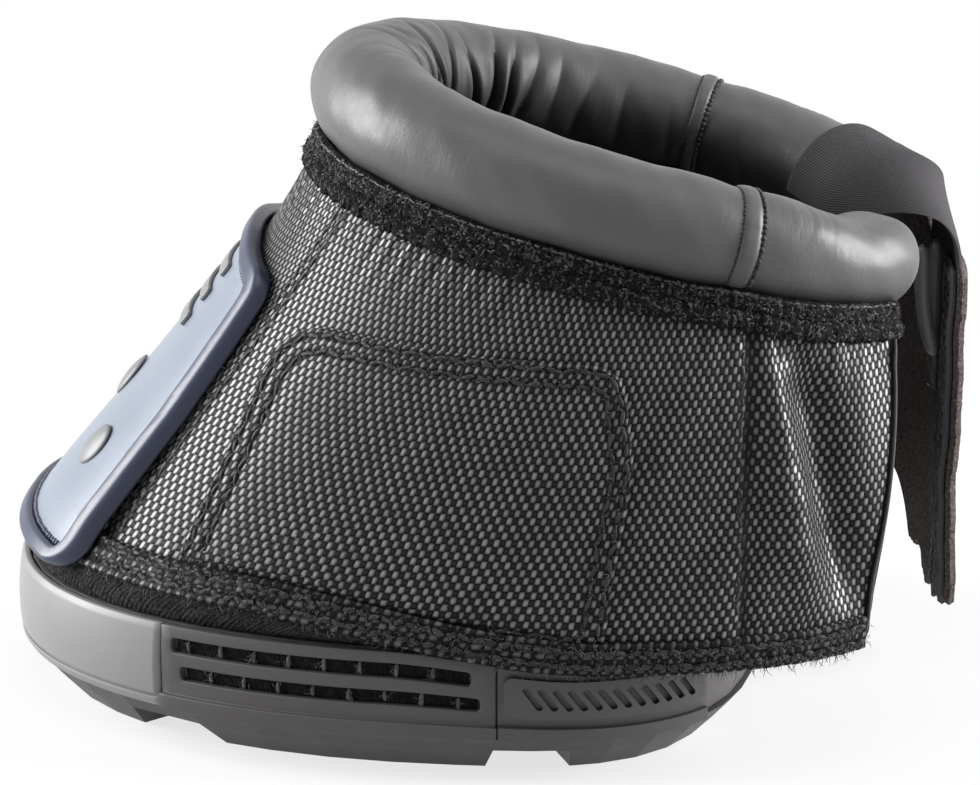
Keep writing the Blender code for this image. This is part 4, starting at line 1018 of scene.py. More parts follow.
def choose(piece, test, kind="EDGE"):
    """Selects the edges or faces whose places pass a test, in edit mode."""
    bpy.ops.mesh.select_mode(type=kind)
    bpy.ops.mesh.select_all(action="DESELECT")
    bm = bmesh.from_edit_mesh(piece.data)
    for part in (bm.edges if kind == "EDGE" else bm.faces if kind == "FACE" else bm.verts):
        part.select = bool(test(part))
    bm.select_flush_mode()
    bmesh.update_edit_mesh(piece.data)


def upright(edge):
    a, b = (v.co for v in edge.verts)
    return abs(a.z - b.z) > abs(a.x - b.x) + abs(a.y - b.y)


def settle(piece):
    """Puts an object's place into its mesh."""
    bpy.ops.object.mode_set(mode="OBJECT")
    only(piece)
    bpy.ops.object.transform_apply(location=True, rotation=True, scale=True)
    return piece


def slot_cutter(low, high, corner, slant=0.0):
    """A box with upright round corners, which cuts a groove."""
    piece = start_cube("cutter", low, high)
    choose(piece, upright)
    bpy.ops.mesh.bevel(offset=corner, segments=5, affect="EDGES")
    if slant:
        bpy.ops.mesh.select_all(action="SELECT")
        middle = [(a + b) / 2 for a, b in zip(low, high)]
        bpy.ops.transform.rotate(value=slant, orient_axis="Z", center_override=middle)
    return settle(piece)


def carve(piece, tools, operation="DIFFERENCE"):
    """Cuts other objects out of a piece, or joins them to it."""
    for tool in tools:
        made = piece.modifiers.new("carve", "BOOLEAN")
        made.object = tool
        made.operation = operation
        made.solver = "EXACT"
        only(piece)
        bpy.ops.object.modifier_apply(modifier=made.name)
        bpy.data.objects.remove(tool, do_unlink=True)


def round_edges(piece, width, segments, angle):
    """A modifier that rounds an object's sharp edges."""
    made = piece.modifiers.new("ease", "BEVEL")
    made.width = width
    made.segments = segments
    made.limit_method = "ANGLE"
    made.angle_limit = math.radians(angle)
    return made


def ease(piece, width, segments=2):
    """Rounds an object's sharp edges for good."""
    made = round_edges(piece, width, segments, 35)
    only(piece)
    bpy.ops.object.modifier_apply(modifier=made.name)


def slice_up(piece, axis, low, high, pitch):
    """Bisects an object by even planes, so that it can bend."""
    only(piece)
    bpy.ops.object.mode_set(mode="EDIT")
    bpy.ops.mesh.select_mode(type="FACE")
    way = Vector(np.eye(3)[axis])
    count = max(2, round((high - low) / pitch))
    for number in range(1, count):
        bpy.ops.mesh.select_all(action="SELECT")
        bpy.ops.mesh.bisect(plane_co=way * mix(low, high, number / count), plane_no=way)
    bpy.ops.object.mode_set(mode="OBJECT")


def lay(piece, rule):
    """Moves a flat piece's points on to a surface by rule(x, y, z)."""
    mesh = piece.data
    flat = np.zeros(len(mesh.vertices) * 3)
    mesh.vertices.foreach_get("co", flat)
    flat = flat.reshape(-1, 3)
    placed = rule(flat[:, 0], flat[:, 1], flat[:, 2])
    mesh.vertices.foreach_set("co", placed.ravel())
    mesh.update()
    bm = bmesh.new()
    bm.from_mesh(mesh)
    bmesh.ops.remove_doubles(bm, verts=bm.verts, dist=2e-6)
    bmesh.ops.dissolve_degenerate(bm, edges=bm.edges, dist=2e-6)
    bmesh.ops.triangulate(bm, faces=[f for f in bm.faces if len(f.verts) > 4])
    bmesh.ops.recalc_face_normals(bm, faces=bm.faces)
    bm.to_mesh(mesh)
    bm.free()
    return piece


def dress(piece, name, look, sharp=40.0):
    """Names an object and gives it its material and smooth shading."""
    piece.name = name
    piece.data.name = name
    piece.data.materials.clear()
    piece.data.materials.append(finishes()[look])
    only(piece)
    bpy.ops.object.shade_smooth_by_angle(angle=math.radians(sharp))
    return piece


# Sole

CLAD_HEIGHT = RIM_TOE_HEIGHT - TRAY_BOTTOM
SOLE_TURNS = np.linspace(0, math.pi, 1500)
SOLE_RUN = lengths_along(sole_point(SOLE_TURNS, 0, 0))


def sole_run_at(x):
    """Distance along the sole's edge from the toe to a place along the boot."""
    return float(np.interp(sole_turn_at(x), SOLE_TURNS, SOLE_RUN))


def clad_rule(side, belly=0.0, lean=0.0):
    """Lays a flat piece round the sole: x along its edge, y up it and z out of the tray."""
    def rule(x, y, z):
        turn = np.interp(np.abs(x), SOLE_RUN, SOLE_TURNS) * np.where(x < 0, -1, 1) * side
        share = y / CLAD_HEIGHT
        in_x, _ = SOLE.at(turn, CLAD_THICKNESS)
        height = mix(TRAY_BOTTOM, rim_height(in_x), share)
        swell = belly * (1 - (2 * share - 1) ** 2) + lean * share
        inset = CLAD_THICKNESS - z - swell * smooth(z, 0, CLAD_THICKNESS)
        return sole_point(turn, inset, height)
    return rule


def toe_wall():
    """The plain satin wall round the toe, with a step along its foot."""
    run = sole_run_at(TOE_CAP_END_X)
    piece = start_cube("toe_wall", (-run, 0, 0), (run, CLAD_HEIGHT, TOE_WALL_THICKNESS))
    choose(piece, lambda face: face.normal.z > 0.5, "FACE")
    bpy.ops.mesh.inset(thickness=0.0011, depth=0.0005)
    bpy.ops.mesh.inset(thickness=0.0004, depth=0.0)
    settle(piece)
    low, high = TOE_STEP
    step = slot_cutter((-run - CUT_REACH, low, TOE_WALL_THICKNESS),
                       (run + CUT_REACH, high, CUT_REACH), 0.0002)
    carve(piece, [step])
    ease(piece, 0.0004)
    slice_up(piece, 0, -run, run, 0.0018)
    slice_up(piece, 1, 0, CLAD_HEIGHT, 0.0016)
    lay(piece, clad_rule(RIGHT, belly=0.0009, lean=-0.0005))
    dress(piece, "toe_wall", "toe")
    return hold(piece, "boot", "toe_cap")


# Each channel's start and end as shares of its frame's run, its foot and its head
CHANNELS = ((0.035, 0.93, 0.0126, 0.0157), (0.065, 0.955, 0.0068, 0.0098))


def side_frame_ends():
    """Where a side frame starts and ends along the sole's edge."""
    return sole_run_at(TOE_CAP_END_X) + GAP, sole_run_at(SIDE_FRAME_END_X)


def side_frame(word, side):
    """A frame of rails round two sunken channels, over a foot that stands proud."""
    start, end = side_frame_ends()
    piece = settle(start_cube("side_frame", (start, 0, 0),
                              (end, CLAD_HEIGHT, CLAD_THICKNESS - FRAME_LIP)))
    carve(piece, [slot_cutter((mix(start, end, low), foot, CHANNEL_FLOOR),
                              (mix(start, end, high), head, CUT_REACH), 0.0009)
                  for low, high, foot, head in CHANNELS])
    foot = settle(start_cube("foot", (start, 0, 0), (end, FOOT_HEIGHT, CLAD_THICKNESS)))
    carve(piece, [foot], "UNION")
    ease(piece, 0.00065, 3)
    slice_up(piece, 0, start, end, 0.0024)
    slice_up(piece, 1, 0, CLAD_HEIGHT, 0.0030)
    lay(piece, clad_rule(side, belly=0.0006))
    dress(piece, "frame_" + word, "sole")
    return hold(piece, "boot", "side_frame_" + word)


def heel_panel(word, side):
    """The raised panel at the rear, with slanted notches along its face."""
    start, end = sole_run_at(SIDE_FRAME_END_X) + GAP, sole_run_at(HEEL_PANEL_END_X)
    piece = settle(start_cube("heel_panel", (start, 0, 0),
                              (end, CLAD_HEIGHT * 0.98, CLAD_THICKNESS - FRAME_LIP)))
    raised = start_cube("raised", (start + 0.0012, PANEL_FOOT_HEIGHT, 0),
                        (end - 0.0015, CLAD_HEIGHT * 0.90, CLAD_THICKNESS))
    choose(raised, upright)
    bpy.ops.mesh.bevel(offset=PANEL_CORNER, segments=4, affect="EDGES")
    settle(raised)
    foot = settle(start_cube("foot", (start, 0, 0), (end, FOOT_HEIGHT, CLAD_THICKNESS)))
    carve(piece, [raised, foot], "UNION")
    pitch = (end - start - 0.010) / NOTCHES
    notches = []
    for number in range(NOTCHES):
        x = start + 0.0055 + pitch * (number + 0.5)
        low = (x - pitch * 0.24, NOTCH_FOOT_HEIGHT, CLAD_THICKNESS - NOTCH_DEPTH)
        high = (x + pitch * 0.24, CLAD_HEIGHT * 0.80, CUT_REACH)
        notches.append(slot_cutter(low, high, pitch * 0.2, NOTCH_SLANT))
    carve(piece, notches)
    ease(piece, 0.0003)
    slice_up(piece, 0, start, end, 0.0026)
    lay(piece, clad_rule(side, belly=0.0003))
    dress(piece, "rear_panel_" + word, "sole")
    return hold(piece, "boot", "heel_panel_" + word)


def channel_threads(word, side):
    """Dark webbing in the channels, held by upright stitches with loose light tips."""
    start, end = side_frame_ends()
    rule = clad_rule(side)
    centres, ways, outs = [], [], []
    for number, (low, high, foot, head) in enumerate(CHANNELS):
        web_start = mix(start, end, low) + WEB_END_GAP
        web_end = mix(start, end, high) - WEB_END_GAP
        x, y = np.meshgrid(np.linspace(web_start, web_end, 260),
                           np.linspace(foot + 0.0002, head - 0.0002, 9))
        bumps = WEB_BUMP * np.abs(np.sin(x * 3600 + y * 900))
        bumps = bumps + WEB_GRAIN * ripple(x * 900 + y * 700, 0.7)
        top, under = rule(x, y, WEB_LIFT + bumps), rule(x, y, CHANNEL_FLOOR)
        name = "channel_web_%s_%d" % (word, number + 1)
        hold(slab(name, top, under, np.stack([x, y], -1), "binding"), "boot")
        knots = np.arange(x[0, 0] + KNOT_START * (number + 1), x[0, -1], KNOT_PITCH)
        middle = (foot + head) / 2
        place = rule(knots, middle, KNOT_LIFT)
        centres.append(place)
        ways.append(rule(knots, middle + 0.001, KNOT_LIFT) - place)
        outs.append(rule(knots, middle, KNOT_LIFT + 0.001) - place)
    centres, ways, outs = (np.concatenate(group) for group in (centres, ways, outs))
    pick = np.random.default_rng(8)
    scales = np.array(KNOT_SIZE) * pick.uniform(0.85, 1.15, (len(centres), 1))
    ways = ways + outs * pick.normal(0, 0.1, (len(ways), 1))
    cord = copies("channel_knots_" + word, *bead_shape(), centres, ways, outs, scales, "thread",
                  pick.uniform(0.3, 1, len(centres)))
    hold(cord, "boot")
    roots = np.repeat(centres, KNOT_TIPS, 0)
    roots = roots + pick.normal(0, 0.0005, roots.shape)
    out = unit(np.repeat(outs, KNOT_TIPS, 0))
    fuzz = threads("channel_tips_" + word, roots, out + pick.normal(0, 0.8, out.shape),
                   pick.uniform(0.0006, 0.0014, len(roots)), FIBRE_RADIUS, "thread", 3)
    return hold(fuzz, "boot")


def bottom():
    """The tread and the tray keep their solids, with their edges eased."""
    for name, finish, width in (("tread", "tread", 0.0006), ("sole_tray", "sole", 0.0003)):
        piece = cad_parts[name]
        piece.data.materials.clear()
        piece.data.materials.append(finishes()[finish])
        piece.modifiers.new("weld", "WELD").merge_threshold = 1e-5
        round_edges(piece, width, 2, 28)


def insole():
    """The soft quilted pad on the tray's floor."""
    turn = np.linspace(-math.pi, math.pi, 160, endpoint=False)
    x, y = SOLE.at(turn, TRAY_INNER_INSET + GAP + SKIRT + GAP)

    def ring(share, height):
        return points_of(mix(SOLE.centre_x, x, share), y * share, FLOOR_TOP + GAP + height)
    rings = []
    for share in INSOLE_SHARES:
        waves = np.cos(ring(share, 0)[:, :2] * INSOLE_QUILT_RATE)
        quilt = INSOLE_QUILT * (np.prod(waves, -1) - 1)
        rings.append(ring(share, INSOLE_THICKNESS + (INSOLE_CROWN + quilt) * (1 - share ** 2)))
    rings += [ring(0.998, INSOLE_THICKNESS * 0.80), ring(1, INSOLE_THICKNESS * 0.45),
              ring(0.995, 0), ring(1e-4, 0)]
    rings = np.stack(rings)
    piece = rod("insole", rings, "foam", rings[..., :2])
    return hold(piece, "boot", "insole_pad")


# Upper

CLOTH_TURNS = np.linspace(0, CLOTH_END_TURN, 900)
CLOTH_RUN = lengths_along(wall_base(CLOTH_TURNS, 0.5))


def weave_place(turn, points):
    """UV places in metres: the run round the boot and the height up the cloth."""
    run = np.interp(np.abs(turn), CLOTH_TURNS, CLOTH_RUN) * np.sign(turn)
    return np.stack([run, points[..., 2] * WEAVE_SLOPE], -1)


def shares(columns, rows):
    """Shares across and up a grid of points."""
    return np.meshgrid(np.linspace(0, 1, columns), np.linspace(0, 1, rows))


def cloth_grid(side, start, columns, rows):
    """Turns and rises of one side's cloth, from a start turn to the wing's rear edge."""
    across, up = shares(columns, rows)
    rise = UPPER_TOP_SHARE * up
    return side * mix(start, wing_edge_turn(rise), across), rise


def front_seam_turn():
    """Turn of the seam between a quarter and the toe panel."""
    reach = wall_turn_at_x(WING_SEAM_X, 0.5)
    return float(reach * (1 - 2 * FRONT_SEAM_SHARE))


def front_seam_shade(turn, row):
    """Painted shade along one of the front seam's two rows of stitches."""
    return 0.85 * bell(np.abs(turn) - front_seam_turn() - FRONT_ROWS[row], 0.010)


def halves(wing, front, word, side):
    """The solids of one side's piece: its own, and the front one for the left side alone."""
    return [wing + word] + ([front] if side == LEFT else [])


def upper(word, side):
    """One side's nylon, from the front seam to the wing's edge."""
    turn, rise = cloth_grid(side, front_seam_turn() + SEAM_TURN, 320, 96)
    outer, inner = wall(turn, rise, 0), wall(turn, rise, -NYLON)
    # Painted shade along the wing seam's groove and along the front seam's rows of stitches
    dark = 0.95 * bell(outer[..., 0] - WING_SEAM_X, 0.0009)
    dark = np.maximum(dark, front_seam_shade(turn, 1))
    piece = slab("upper_" + word, outer, inner, weave_place(turn, outer), "nylon", dark)
    cut_cloth(outer)
    return bend(piece, word, "quarter_" + word, "wing_panel_" + word)


def toe_cloth():
    """The nylon behind the shield, between the two front seams."""
    reach = front_seam_turn() - SEAM_TURN
    turn, rise = np.meshgrid(np.linspace(-reach, reach, 120), np.linspace(0, UPPER_TOP_SHARE, 96))
    outer, inner = wall(turn, rise, 0), wall(turn, rise, -NYLON)
    place = weave_place(turn, outer) * TOE_WEAVE
    # Painted shade along the front seam's toe-side row of stitches
    piece = slab("toe_cloth", outer, inner, place, "nylon", front_seam_shade(turn, 0))
    cut_cloth(outer)
    return hold(piece, "boot", "toe_panel")


def lining(word, side):
    """One half of the soft lining, from the toe to the wing's edge."""
    turn, rise = cloth_grid(side, MIDDLE_TURN, 150, 40)
    proud = -NYLON - GAP
    nap = 0.00025 * ripple(turn * 90 + rise * 60, 0.7)
    outer, inner = wall(turn, rise, proud), wall(turn, rise, proud - LINING + nap)
    piece = slab("lining_" + word, outer, inner, weave_place(turn, outer), "lining")
    cut_cloth(outer)
    return bend(piece, word, *halves("wing_lining_", "lining_front", word, side))


def skirt():
    """The cloth that joins the upper to the inside of the tray."""
    top = -NYLON - GAP - LINING - DOME_GAP
    turn = np.linspace(-SKIRT_END_TURN, SKIRT_END_TURN, 200)
    faces = []
    for back in (0.0, SKIRT):
        inset = TRAY_INNER_INSET + GAP + back
        x, _ = SOLE.at(turn, inset)
        low = sole_point(turn, inset, FLOOR_TOP + GAP)
        rim = sole_point(turn, inset, rim_height(x) + GAP)
        half = wall(turn, SKIRT_TOP_SHARE / 2, top - back)
        head = wall(turn, SKIRT_TOP_SHARE, top - back)
        rows = [mix(low, rim, s) for s in np.linspace(0, 1, 12)]
        rows += [mix(rim, half, s) for s in np.linspace(0.12, 1, 8)]
        rows += [mix(half, head, s) for s in np.linspace(0.25, 1, 4)]
        faces.append(np.stack(rows))
    outer, inner = faces
    uv = weave_place(np.broadcast_to(turn, outer.shape[:2]), outer)
    piece = slab("skirt", outer, inner, uv, "lining")
    cut_cloth(outer)
    return hold(piece, "boot", "sole_skirt")


def frill(word, side):
    """The ribbed, frayed edge of the lining between the hem and the sole's rim."""
    turn = side * np.linspace(MIDDLE_TURN, FRILL_END_TURN, 560)
    inset = (CLAD_THICKNESS + TRAY_INNER_INSET) / 2
    x, _ = SOLE.at(turn, inset)
    rim = sole_point(turn, inset, rim_height(x) + GAP)
    foot, head = wall(turn, 0, -GAP), wall(turn, 0.05, -GAP)
    share = np.linspace(0, 1, 16)[:, None]
    line = mix(rim, foot, share[..., None])
    away = points_of(-np.cos(turn), np.sin(turn), 0)
    run = np.interp(np.abs(turn), CLOTH_TURNS, CLOTH_RUN)
    ribs = 0.00030 * np.abs(np.sin(run * 2900 + 2 * np.sin(share * 3)))
    fold_out = 0.0010 * np.sin(np.pi * share) * (0.7 + 0.3 * ripple(run * 150, 0.5))
    rough = 0.00025 * ripple(run * 900 + share * 20, 1.1)
    outer = line + away * (fold_out + ribs + rough)[..., None]
    inner = line - away * 0.0006
    outer = np.concatenate([outer, head[None]])
    inner = np.concatenate([inner, head[None] - away * 0.0006])
    uv = weave_place(np.broadcast_to(turn, outer.shape[:2]), outer)
    piece = slab("frill_" + word, outer, inner, uv, "frill")
    cut_cloth(inner)
    return hold(piece, "boot")


def rounded_outline(corners, steps=10):
    """An outline through (x, y, radius) corners, with its corners rounded."""
    outline = []
    for number, (x, y, radius) in enumerate(corners):
        here = np.array([x, y])
        before = np.array(corners[number - 1][:2]) - here
        after = np.array(corners[(number + 1) % len(corners)][:2]) - here
        angle = math.acos(float(np.dot(unit(before), unit(after))))
        reach = min(radius / math.tan(angle / 2),
                    np.linalg.norm(before) / 2, np.linalg.norm(after) / 2)
        start, end = here + unit(before) * reach, here + unit(after) * reach
        for share in np.linspace(0, 1, steps):
            outline.append(mix(mix(start, here, share), mix(here, end, share), share))
    return np.array(outline)


def even_outline(outline, count):
    closed = np.concatenate([outline, outline[:1]])
    run = lengths_along(closed)
    marks = np.linspace(0, run[-1], count, endpoint=False)
    return along_at(marks, run, closed)


def patch_under(x):
    """1 where the hem band runs over the patch, else 0."""
    start, end = PATCH_CORNERS[0][0], PATCH_CORNERS[-1][0]
    return smooth(x, start - 0.0045, start) * smooth(-x, -end - 0.0055, -end - 0.0010)


def patch_outline():
    """The patch's outline from the side, with its foot tucked under the hem band."""
    corners = [(x, height or hem_height(x) + PATCH_TUCK, radius)
               for x, height, radius in PATCH_CORNERS]
    return even_outline(rounded_outline(corners), 260)


def inset_outline(outline, width):
    before = unit(outline - np.roll(outline, 1, 0))
    after = unit(np.roll(outline, -1, 0) - outline)
    ahead = unit(before + after)
    side = np.stack([ahead[:, 1], -ahead[:, 0]], -1)
    middle = outline.mean(0)
    if ((middle - outline) * side).sum() < 0:
        side = -side
    return outline + side * width


def side_patch(word, side):
    """The reinforcing patch, with a groove under each row of stitches."""
    outline = patch_outline()
    middle = outline.mean(0)
    insets = np.linspace(0, PATCH_EDGE, 22)
    loops = [inset_outline(outline, width) for width in insets]
    field = np.linspace(0.04, 0.9999, 28)
    loops += [mix(loops[-1], middle, share) for share in field]
    depth = np.concatenate([insets, np.full(len(field), PATCH_DEEP)])
    flat = np.stack(loops)
    up = flat[..., 1] - hem_height(flat[..., 0]) - HEM_BAND_HEIGHT
    clear = smooth(up, -0.0002, 0.0022)
    turn = side_turn(flat[..., 0], flat[..., 1])
    rise = rise_at(turn, flat[..., 1])
    groove = sum(PATCH_GROOVE * bell(depth - row, 0.0006) for row in PATCH_ROWS)
    swell = PATCH_SWELL * smooth(depth, 0.004, 0.012)
    swell = swell - PATCH_FALL * (1 - smooth(depth, 0, 0.0006))
    proud = mix(GAP + PATCH_LIFT * 0.75, (GAP + PATCH - groove + swell)[:, None], clear)
    outer = wall(side * turn, rise, proud)
    inner = wall(side * turn, rise, GAP * 0.8)
    rings = np.concatenate([inner[::-1], outer])
    turns = np.concatenate([turn[::-1], turn]) * side
    # Painted shade in the stitch grooves and along the patch's foot, where it meets the hem band
    dark = PATCH_GROOVE_SHADE * sum(bell(depth - row, 0.0008) for row in PATCH_ROWS)[:, None]
    dark = np.maximum(dark, PATCH_FOOT_SHADE * bell(up - 0.0004, 0.0009))
    piece = rod("patch_" + word, rings, "nylon", weave_place(turns, rings),
                dark=np.concatenate([dark[::-1], dark]))
    hold(piece, "boot", "side_patch_" + word)
    patch_seams(word, side, outline)


def patch_seams(word, side, outline):
    """Two rows of stitches along the patch's edge, above the hem band, with loose fibres."""
    lines = []
    for row in PATCH_ROWS:
        loop = inset_outline(outline, row)
        loop = loop[loop[:, 1] > hem_height(loop[:, 0]) + HEM_BAND_HEIGHT + 0.0010]
        start = int(np.argmax(np.linalg.norm(np.diff(loop, axis=0, append=loop[:1]), axis=-1)))
        loop = np.roll(loop, -start - 1, 0)
        turn = side_turn(loop[:, 0], loop[:, 1])
        rise = rise_at(turn, loop[:, 1])
        points = wall(side * turn, rise, GAP + PATCH - 0.00015)
        lines.append((points, wall_normal(side * turn, rise)))
    pitch = bpy.context.scene.boot_cloth.stitch_pitch
    hold(sew("patch_stitches_" + word, lines, pitch, STITCH, "dark_thread", 11, 0.25), "boot")
    hold(tufts("patch_tufts_" + word, lines, pitch, 0.00030, 21, 8), "boot")


def tufts(name, lines, pitch, reach, seed, each):
    """Loose fibres at the stitch holes along several lines."""
    pick = np.random.default_rng(seed)
    roots, ways = [], []
    for points, normals in lines:
        length = lengths_along(points)
        count = max(2, int(length[-1] / pitch))
        marks = np.repeat(np.arange(count + 1) * length[-1] / count, each)
        marks = marks + pick.normal(0, pitch * 0.14, len(marks))
        roots.append(along_at(marks, length, points))
        ways.append(along_at(marks, length, normals))
    roots, ways = np.concatenate(roots), np.concatenate(ways)
    roots = roots + pick.normal(0, reach, roots.shape)
    ways = ways * 0.8 + pick.normal(0, 0.7, ways.shape)
    reach = pick.uniform(0.0005, 0.0012, len(roots))
    return threads(name, roots, ways, reach, FIBRE_RADIUS, "thread", seed)


def band_rise(turn, up):
    """Rise of the band along the hem."""
    return up * HEM_BAND_HEIGHT / upper_height(turn)


def hem_band(word, side):
    """The rough tape along the hem, with two rows of stitches and a frayed foot."""
    across, up = shares(420, 13)
    turn = side * mix(MIDDLE_TURN, wing_edge_turn(0), across)
    rise = band_rise(turn, up * 1.02 - 0.02)
    rough = HEM_GRAIN * ripple(turn * 700 + up * 9, 0.3) * ripple(turn * 240 - up * 20, 1.9)
    rough = rough - HEM_GROOVE * sum(bell(up - row, 0.10) for row in HEM_ROWS)
    lift = GAP + PATCH_LIFT * patch_under(wall_base(turn, rise)[..., 0])
    outer = wall(turn, rise, lift + HEM_BAND + HEM_CROWN + rough)
    inner = wall(turn, rise, lift)
    # Painted shade along the two rows of stitches, and 0.45 of darkness over the whole band
    dark = 0.85 * sum(bell(up - row - 0.03, 0.13) for row in HEM_ROWS) + 0.45
    piece = slab("hem_" + word, outer, inner, weave_place(turn, outer), "hem", dark)
    bend(piece, word, *halves("hem_band_", "hem_band_front", word, side))
    hem_seams(word, turn[0])
    hem_fringe(word, turn[0])


def hem_seams(word, turn):
    """The hem band's two rows of stitches, which stop at the shield, with loose fibres."""
    lines = []
    for place in HEM_ROWS:
        turns = turn[np.abs(wall_base(turn, 0.0)[..., 1]) > SHIELD_BOTTOM_HALF + 0.0010]
        rises = band_rise(turns, place)
        over = GAP + PATCH_LIFT * patch_under(wall_base(turns, rises)[..., 0])
        lines.append((wall(turns, rises, over + HEM_BAND + HEM_CROWN), wall_normal(turns, rises)))
    sewn = sew("hem_stitches_" + word, lines, HEM_STITCH_PITCH, HEM_STITCH, "dark_thread", 13, 0.3)
    bend(sewn, word)
    bend(tufts("hem_tufts_" + word, lines, 0.0011, 0.0005, 31, 6), word)


def hem_fringe(word, turn):
    """Frayed ends of yarn that hang from the hem band."""
    foot_turn = np.linspace(turn[2], turn[-6], 260)
    foot = wall(foot_turn, band_rise(foot_turn, -0.01), GAP + 0.0003)
    pick = np.random.default_rng(41)
    marks = pick.integers(0, len(foot), 2 * len(foot))
    roots = foot[marks]
    roots = roots + pick.normal(0, 0.0003, roots.shape)
    ways = wall_normal(foot_turn, 0)[marks] * 0.35 - UP + pick.normal(0, 0.35, roots.shape)
    reach = pick.uniform(0.0008, 0.0026, len(roots))
    bend(threads("hem_fringe_" + word, roots, ways, reach, 0.00009, "thread", 43, 0.4), word)


def clear_of_collar(points, turn, clearance):
    """Moves points that would lie in the collar out to its surface."""
    centre = collar_centre(turn)
    away = points - centre
    far = np.linalg.norm(away, axis=-1)
    least = collar_radius(turn) + clearance
    return centre + away * (np.maximum(far, least) / far)[..., None]


def binding(word, side):
    """The fuzzy double row of tape under the collar."""
    across, up = shares(460, 21)
    overhang = BINDING_OVERHANG if side == LEFT else 0.0
    turn = side * mix(MIDDLE_TURN, wing_edge_turn(BINDING_RISE) + overhang, across)
    height = upper_height(turn)
    uneven = 0.0004 * ripple(turn * 90, 0.8) + 0.0002 * ripple(turn * 330, 1.9)
    deep = BINDING_HEIGHT + 0.0009 + uneven
    rise = 1 - (1 - up) * deep / height - 0.0002 / height
    two_rows = np.abs(np.sin(2 * math.pi * up))
    twist = np.sin(turn * 1150 + up * 20 + 2.0 * ripple(turn * 60, 0.4))
    grain = BINDING_GRAIN * ripple(turn * 420 + up * 11, 0.3) * ripple(turn * 210 - up * 27, 1.9)
    rough = BINDING_TWIST * twist * two_rows + grain
    outer = wall(turn, rise, GAP + BINDING * 0.62 + BINDING_RIDGE * two_rows ** 0.7 + rough)
    outer = clear_of_collar(outer, turn, 0.00045)
    inner = clear_of_collar(wall(turn, rise, GAP * 0.6), turn, 0.00015)
    piece = slab("binding_" + word, outer, inner, weave_place(turn, outer), "binding")
    bend(piece, word, *halves("collar_binding_", "collar_binding_front", word, side))
    binding_chain(word, outer, inner)
    face, back = outer[BINDING_SEAM_ROW, 1:-1], inner[BINDING_SEAM_ROW, 1:-1]
    top = [(face + UP * 0.0001, unit(face - back))]
    bend(sew("binding_stitches_" + word, top, 0.0021, 0.00050, "thread", 59, 0.1), word)
    binding_fuzz(word, side, outer)


def binding_chain(word, outer, inner):
    """Small links of yarn that lie all ways over the binding."""
    rows, columns = outer.shape[:2]
    pick = np.random.default_rng(57)
    row = pick.integers(1, rows - 1, LINKS)
    column = pick.integers(1, columns - 1, LINKS)
    normals = unit(outer[row, column] - inner[row, column])
    along = unit(outer[row, column + 1] - outer[row, column - 1])
    ways = along * pick.choice((-1.0, 1.0), (LINKS, 1))
    ways = ways + np.cross(normals, along) * pick.normal(0, 1.1, (LINKS, 1))
    ways = ways + normals * pick.normal(0, 0.35, (LINKS, 1))
    size = np.array(LINK_SIZE) * pick.uniform(0.7, 1.3, (LINKS, 1))
    chain = copies("binding_chain_" + word, *bead_shape(sag=0.9), outer[row, column], ways,
                   normals, size, "fuzz", pick.uniform(0, 1, LINKS) ** 1.6)
    bend(chain, word)


def binding_fuzz(word, side, outer):
    """Loose fibres over the binding, closer together at its rear end."""
    rows, columns = outer.shape[:2]
    pick = np.random.default_rng(51)
    row = pick.integers(1, rows - 1, FIBRES)
    at_end = pick.integers(columns - 10, columns - 1, FIBRES)
    column = np.where(np.arange(FIBRES) < END_FIBRES, at_end, pick.integers(1, columns - 1, FIBRES))
    around = outer[row, column + 1] - outer[row, column - 1]
    normals = unit(np.cross(outer[row + 1, column] - outer[row - 1, column], around) * side)
    ways = normals * 0.55 + unit(around) * pick.normal(0, 0.9, (FIBRES, 1))
    ways = ways + pick.normal(0, 0.45, (FIBRES, 3))
    fuzz = threads("binding_fuzz_" + word, outer[row, column] - normals * 0.0001, ways,
                   pick.uniform(0.0005, 0.0010, FIBRES), 0.00007, "fuzz", 53, 0.8)
    bend(fuzz, word)


def seams(word, side):
    """The stitched seams of the upper: the front seam and the wing seam."""
    rise = np.linspace(0.10, 0.93, 90)
    front = []
    for shift in FRONT_ROWS:
        turn = side * (front_seam_turn() + shift)
        front.append((wall(turn, rise, 0.0001), wall_normal(turn, rise)))
    hold(sew("front_seam_" + word, front, SEAM_PITCH, STITCH, "dark_thread", 61, 0.2), "boot")
    hold(tufts("front_seam_tufts_" + word, front, SEAM_PITCH, 0.0003, 63, 5), "boot")
    turn = side * wall_turn_at_x(WING_SEAM_X - 0.0012, rise)
    line = [(wall(turn, rise, 0.00005), wall_normal(turn, rise))]
    bend(sew("wing_seam_" + word, line, 0.0030, STITCH, "dark_thread", 67, 0.3), word)


def wing_edge(word, side):
    """The narrow tape folded over the wing's rear edge, with a light cord beside it."""
    rise = np.linspace(0.0, UPPER_TOP_SHARE, 90)
    turn = side * wing_edge_turn(rise)
    base = wall(turn, rise, -NYLON / 2)
    normal = wall_normal(turn, rise)
    back = unit(np.cross(unit(np.gradient(base, axis=0)), normal)) * side
    heel = wall(turn + side * 0.01, rise, -NYLON / 2) - base
    back = np.where((back * heel).sum(-1, keepdims=True) < 0, -back, back)
    thick = NYLON / 2 + 0.00055
    tape = ovals(base + back * 0.0006, back, normal, 0.0012, thick, 14)
    hold(rod("wing_edge_" + word, tape, "binding"), word + "_wing")
    beside = base + normal * (thick + 0.0001) + back * 0.0004
    cord = ovals(beside, back, normal, WING_CORD_RADIUS, WING_CORD_RADIUS, 14)
    light = np.full(cord.shape[:2] + (2,), 0.8)
    hold(rod("wing_cord_" + word, cord, "fuzz", light), word + "_wing")


# Collar

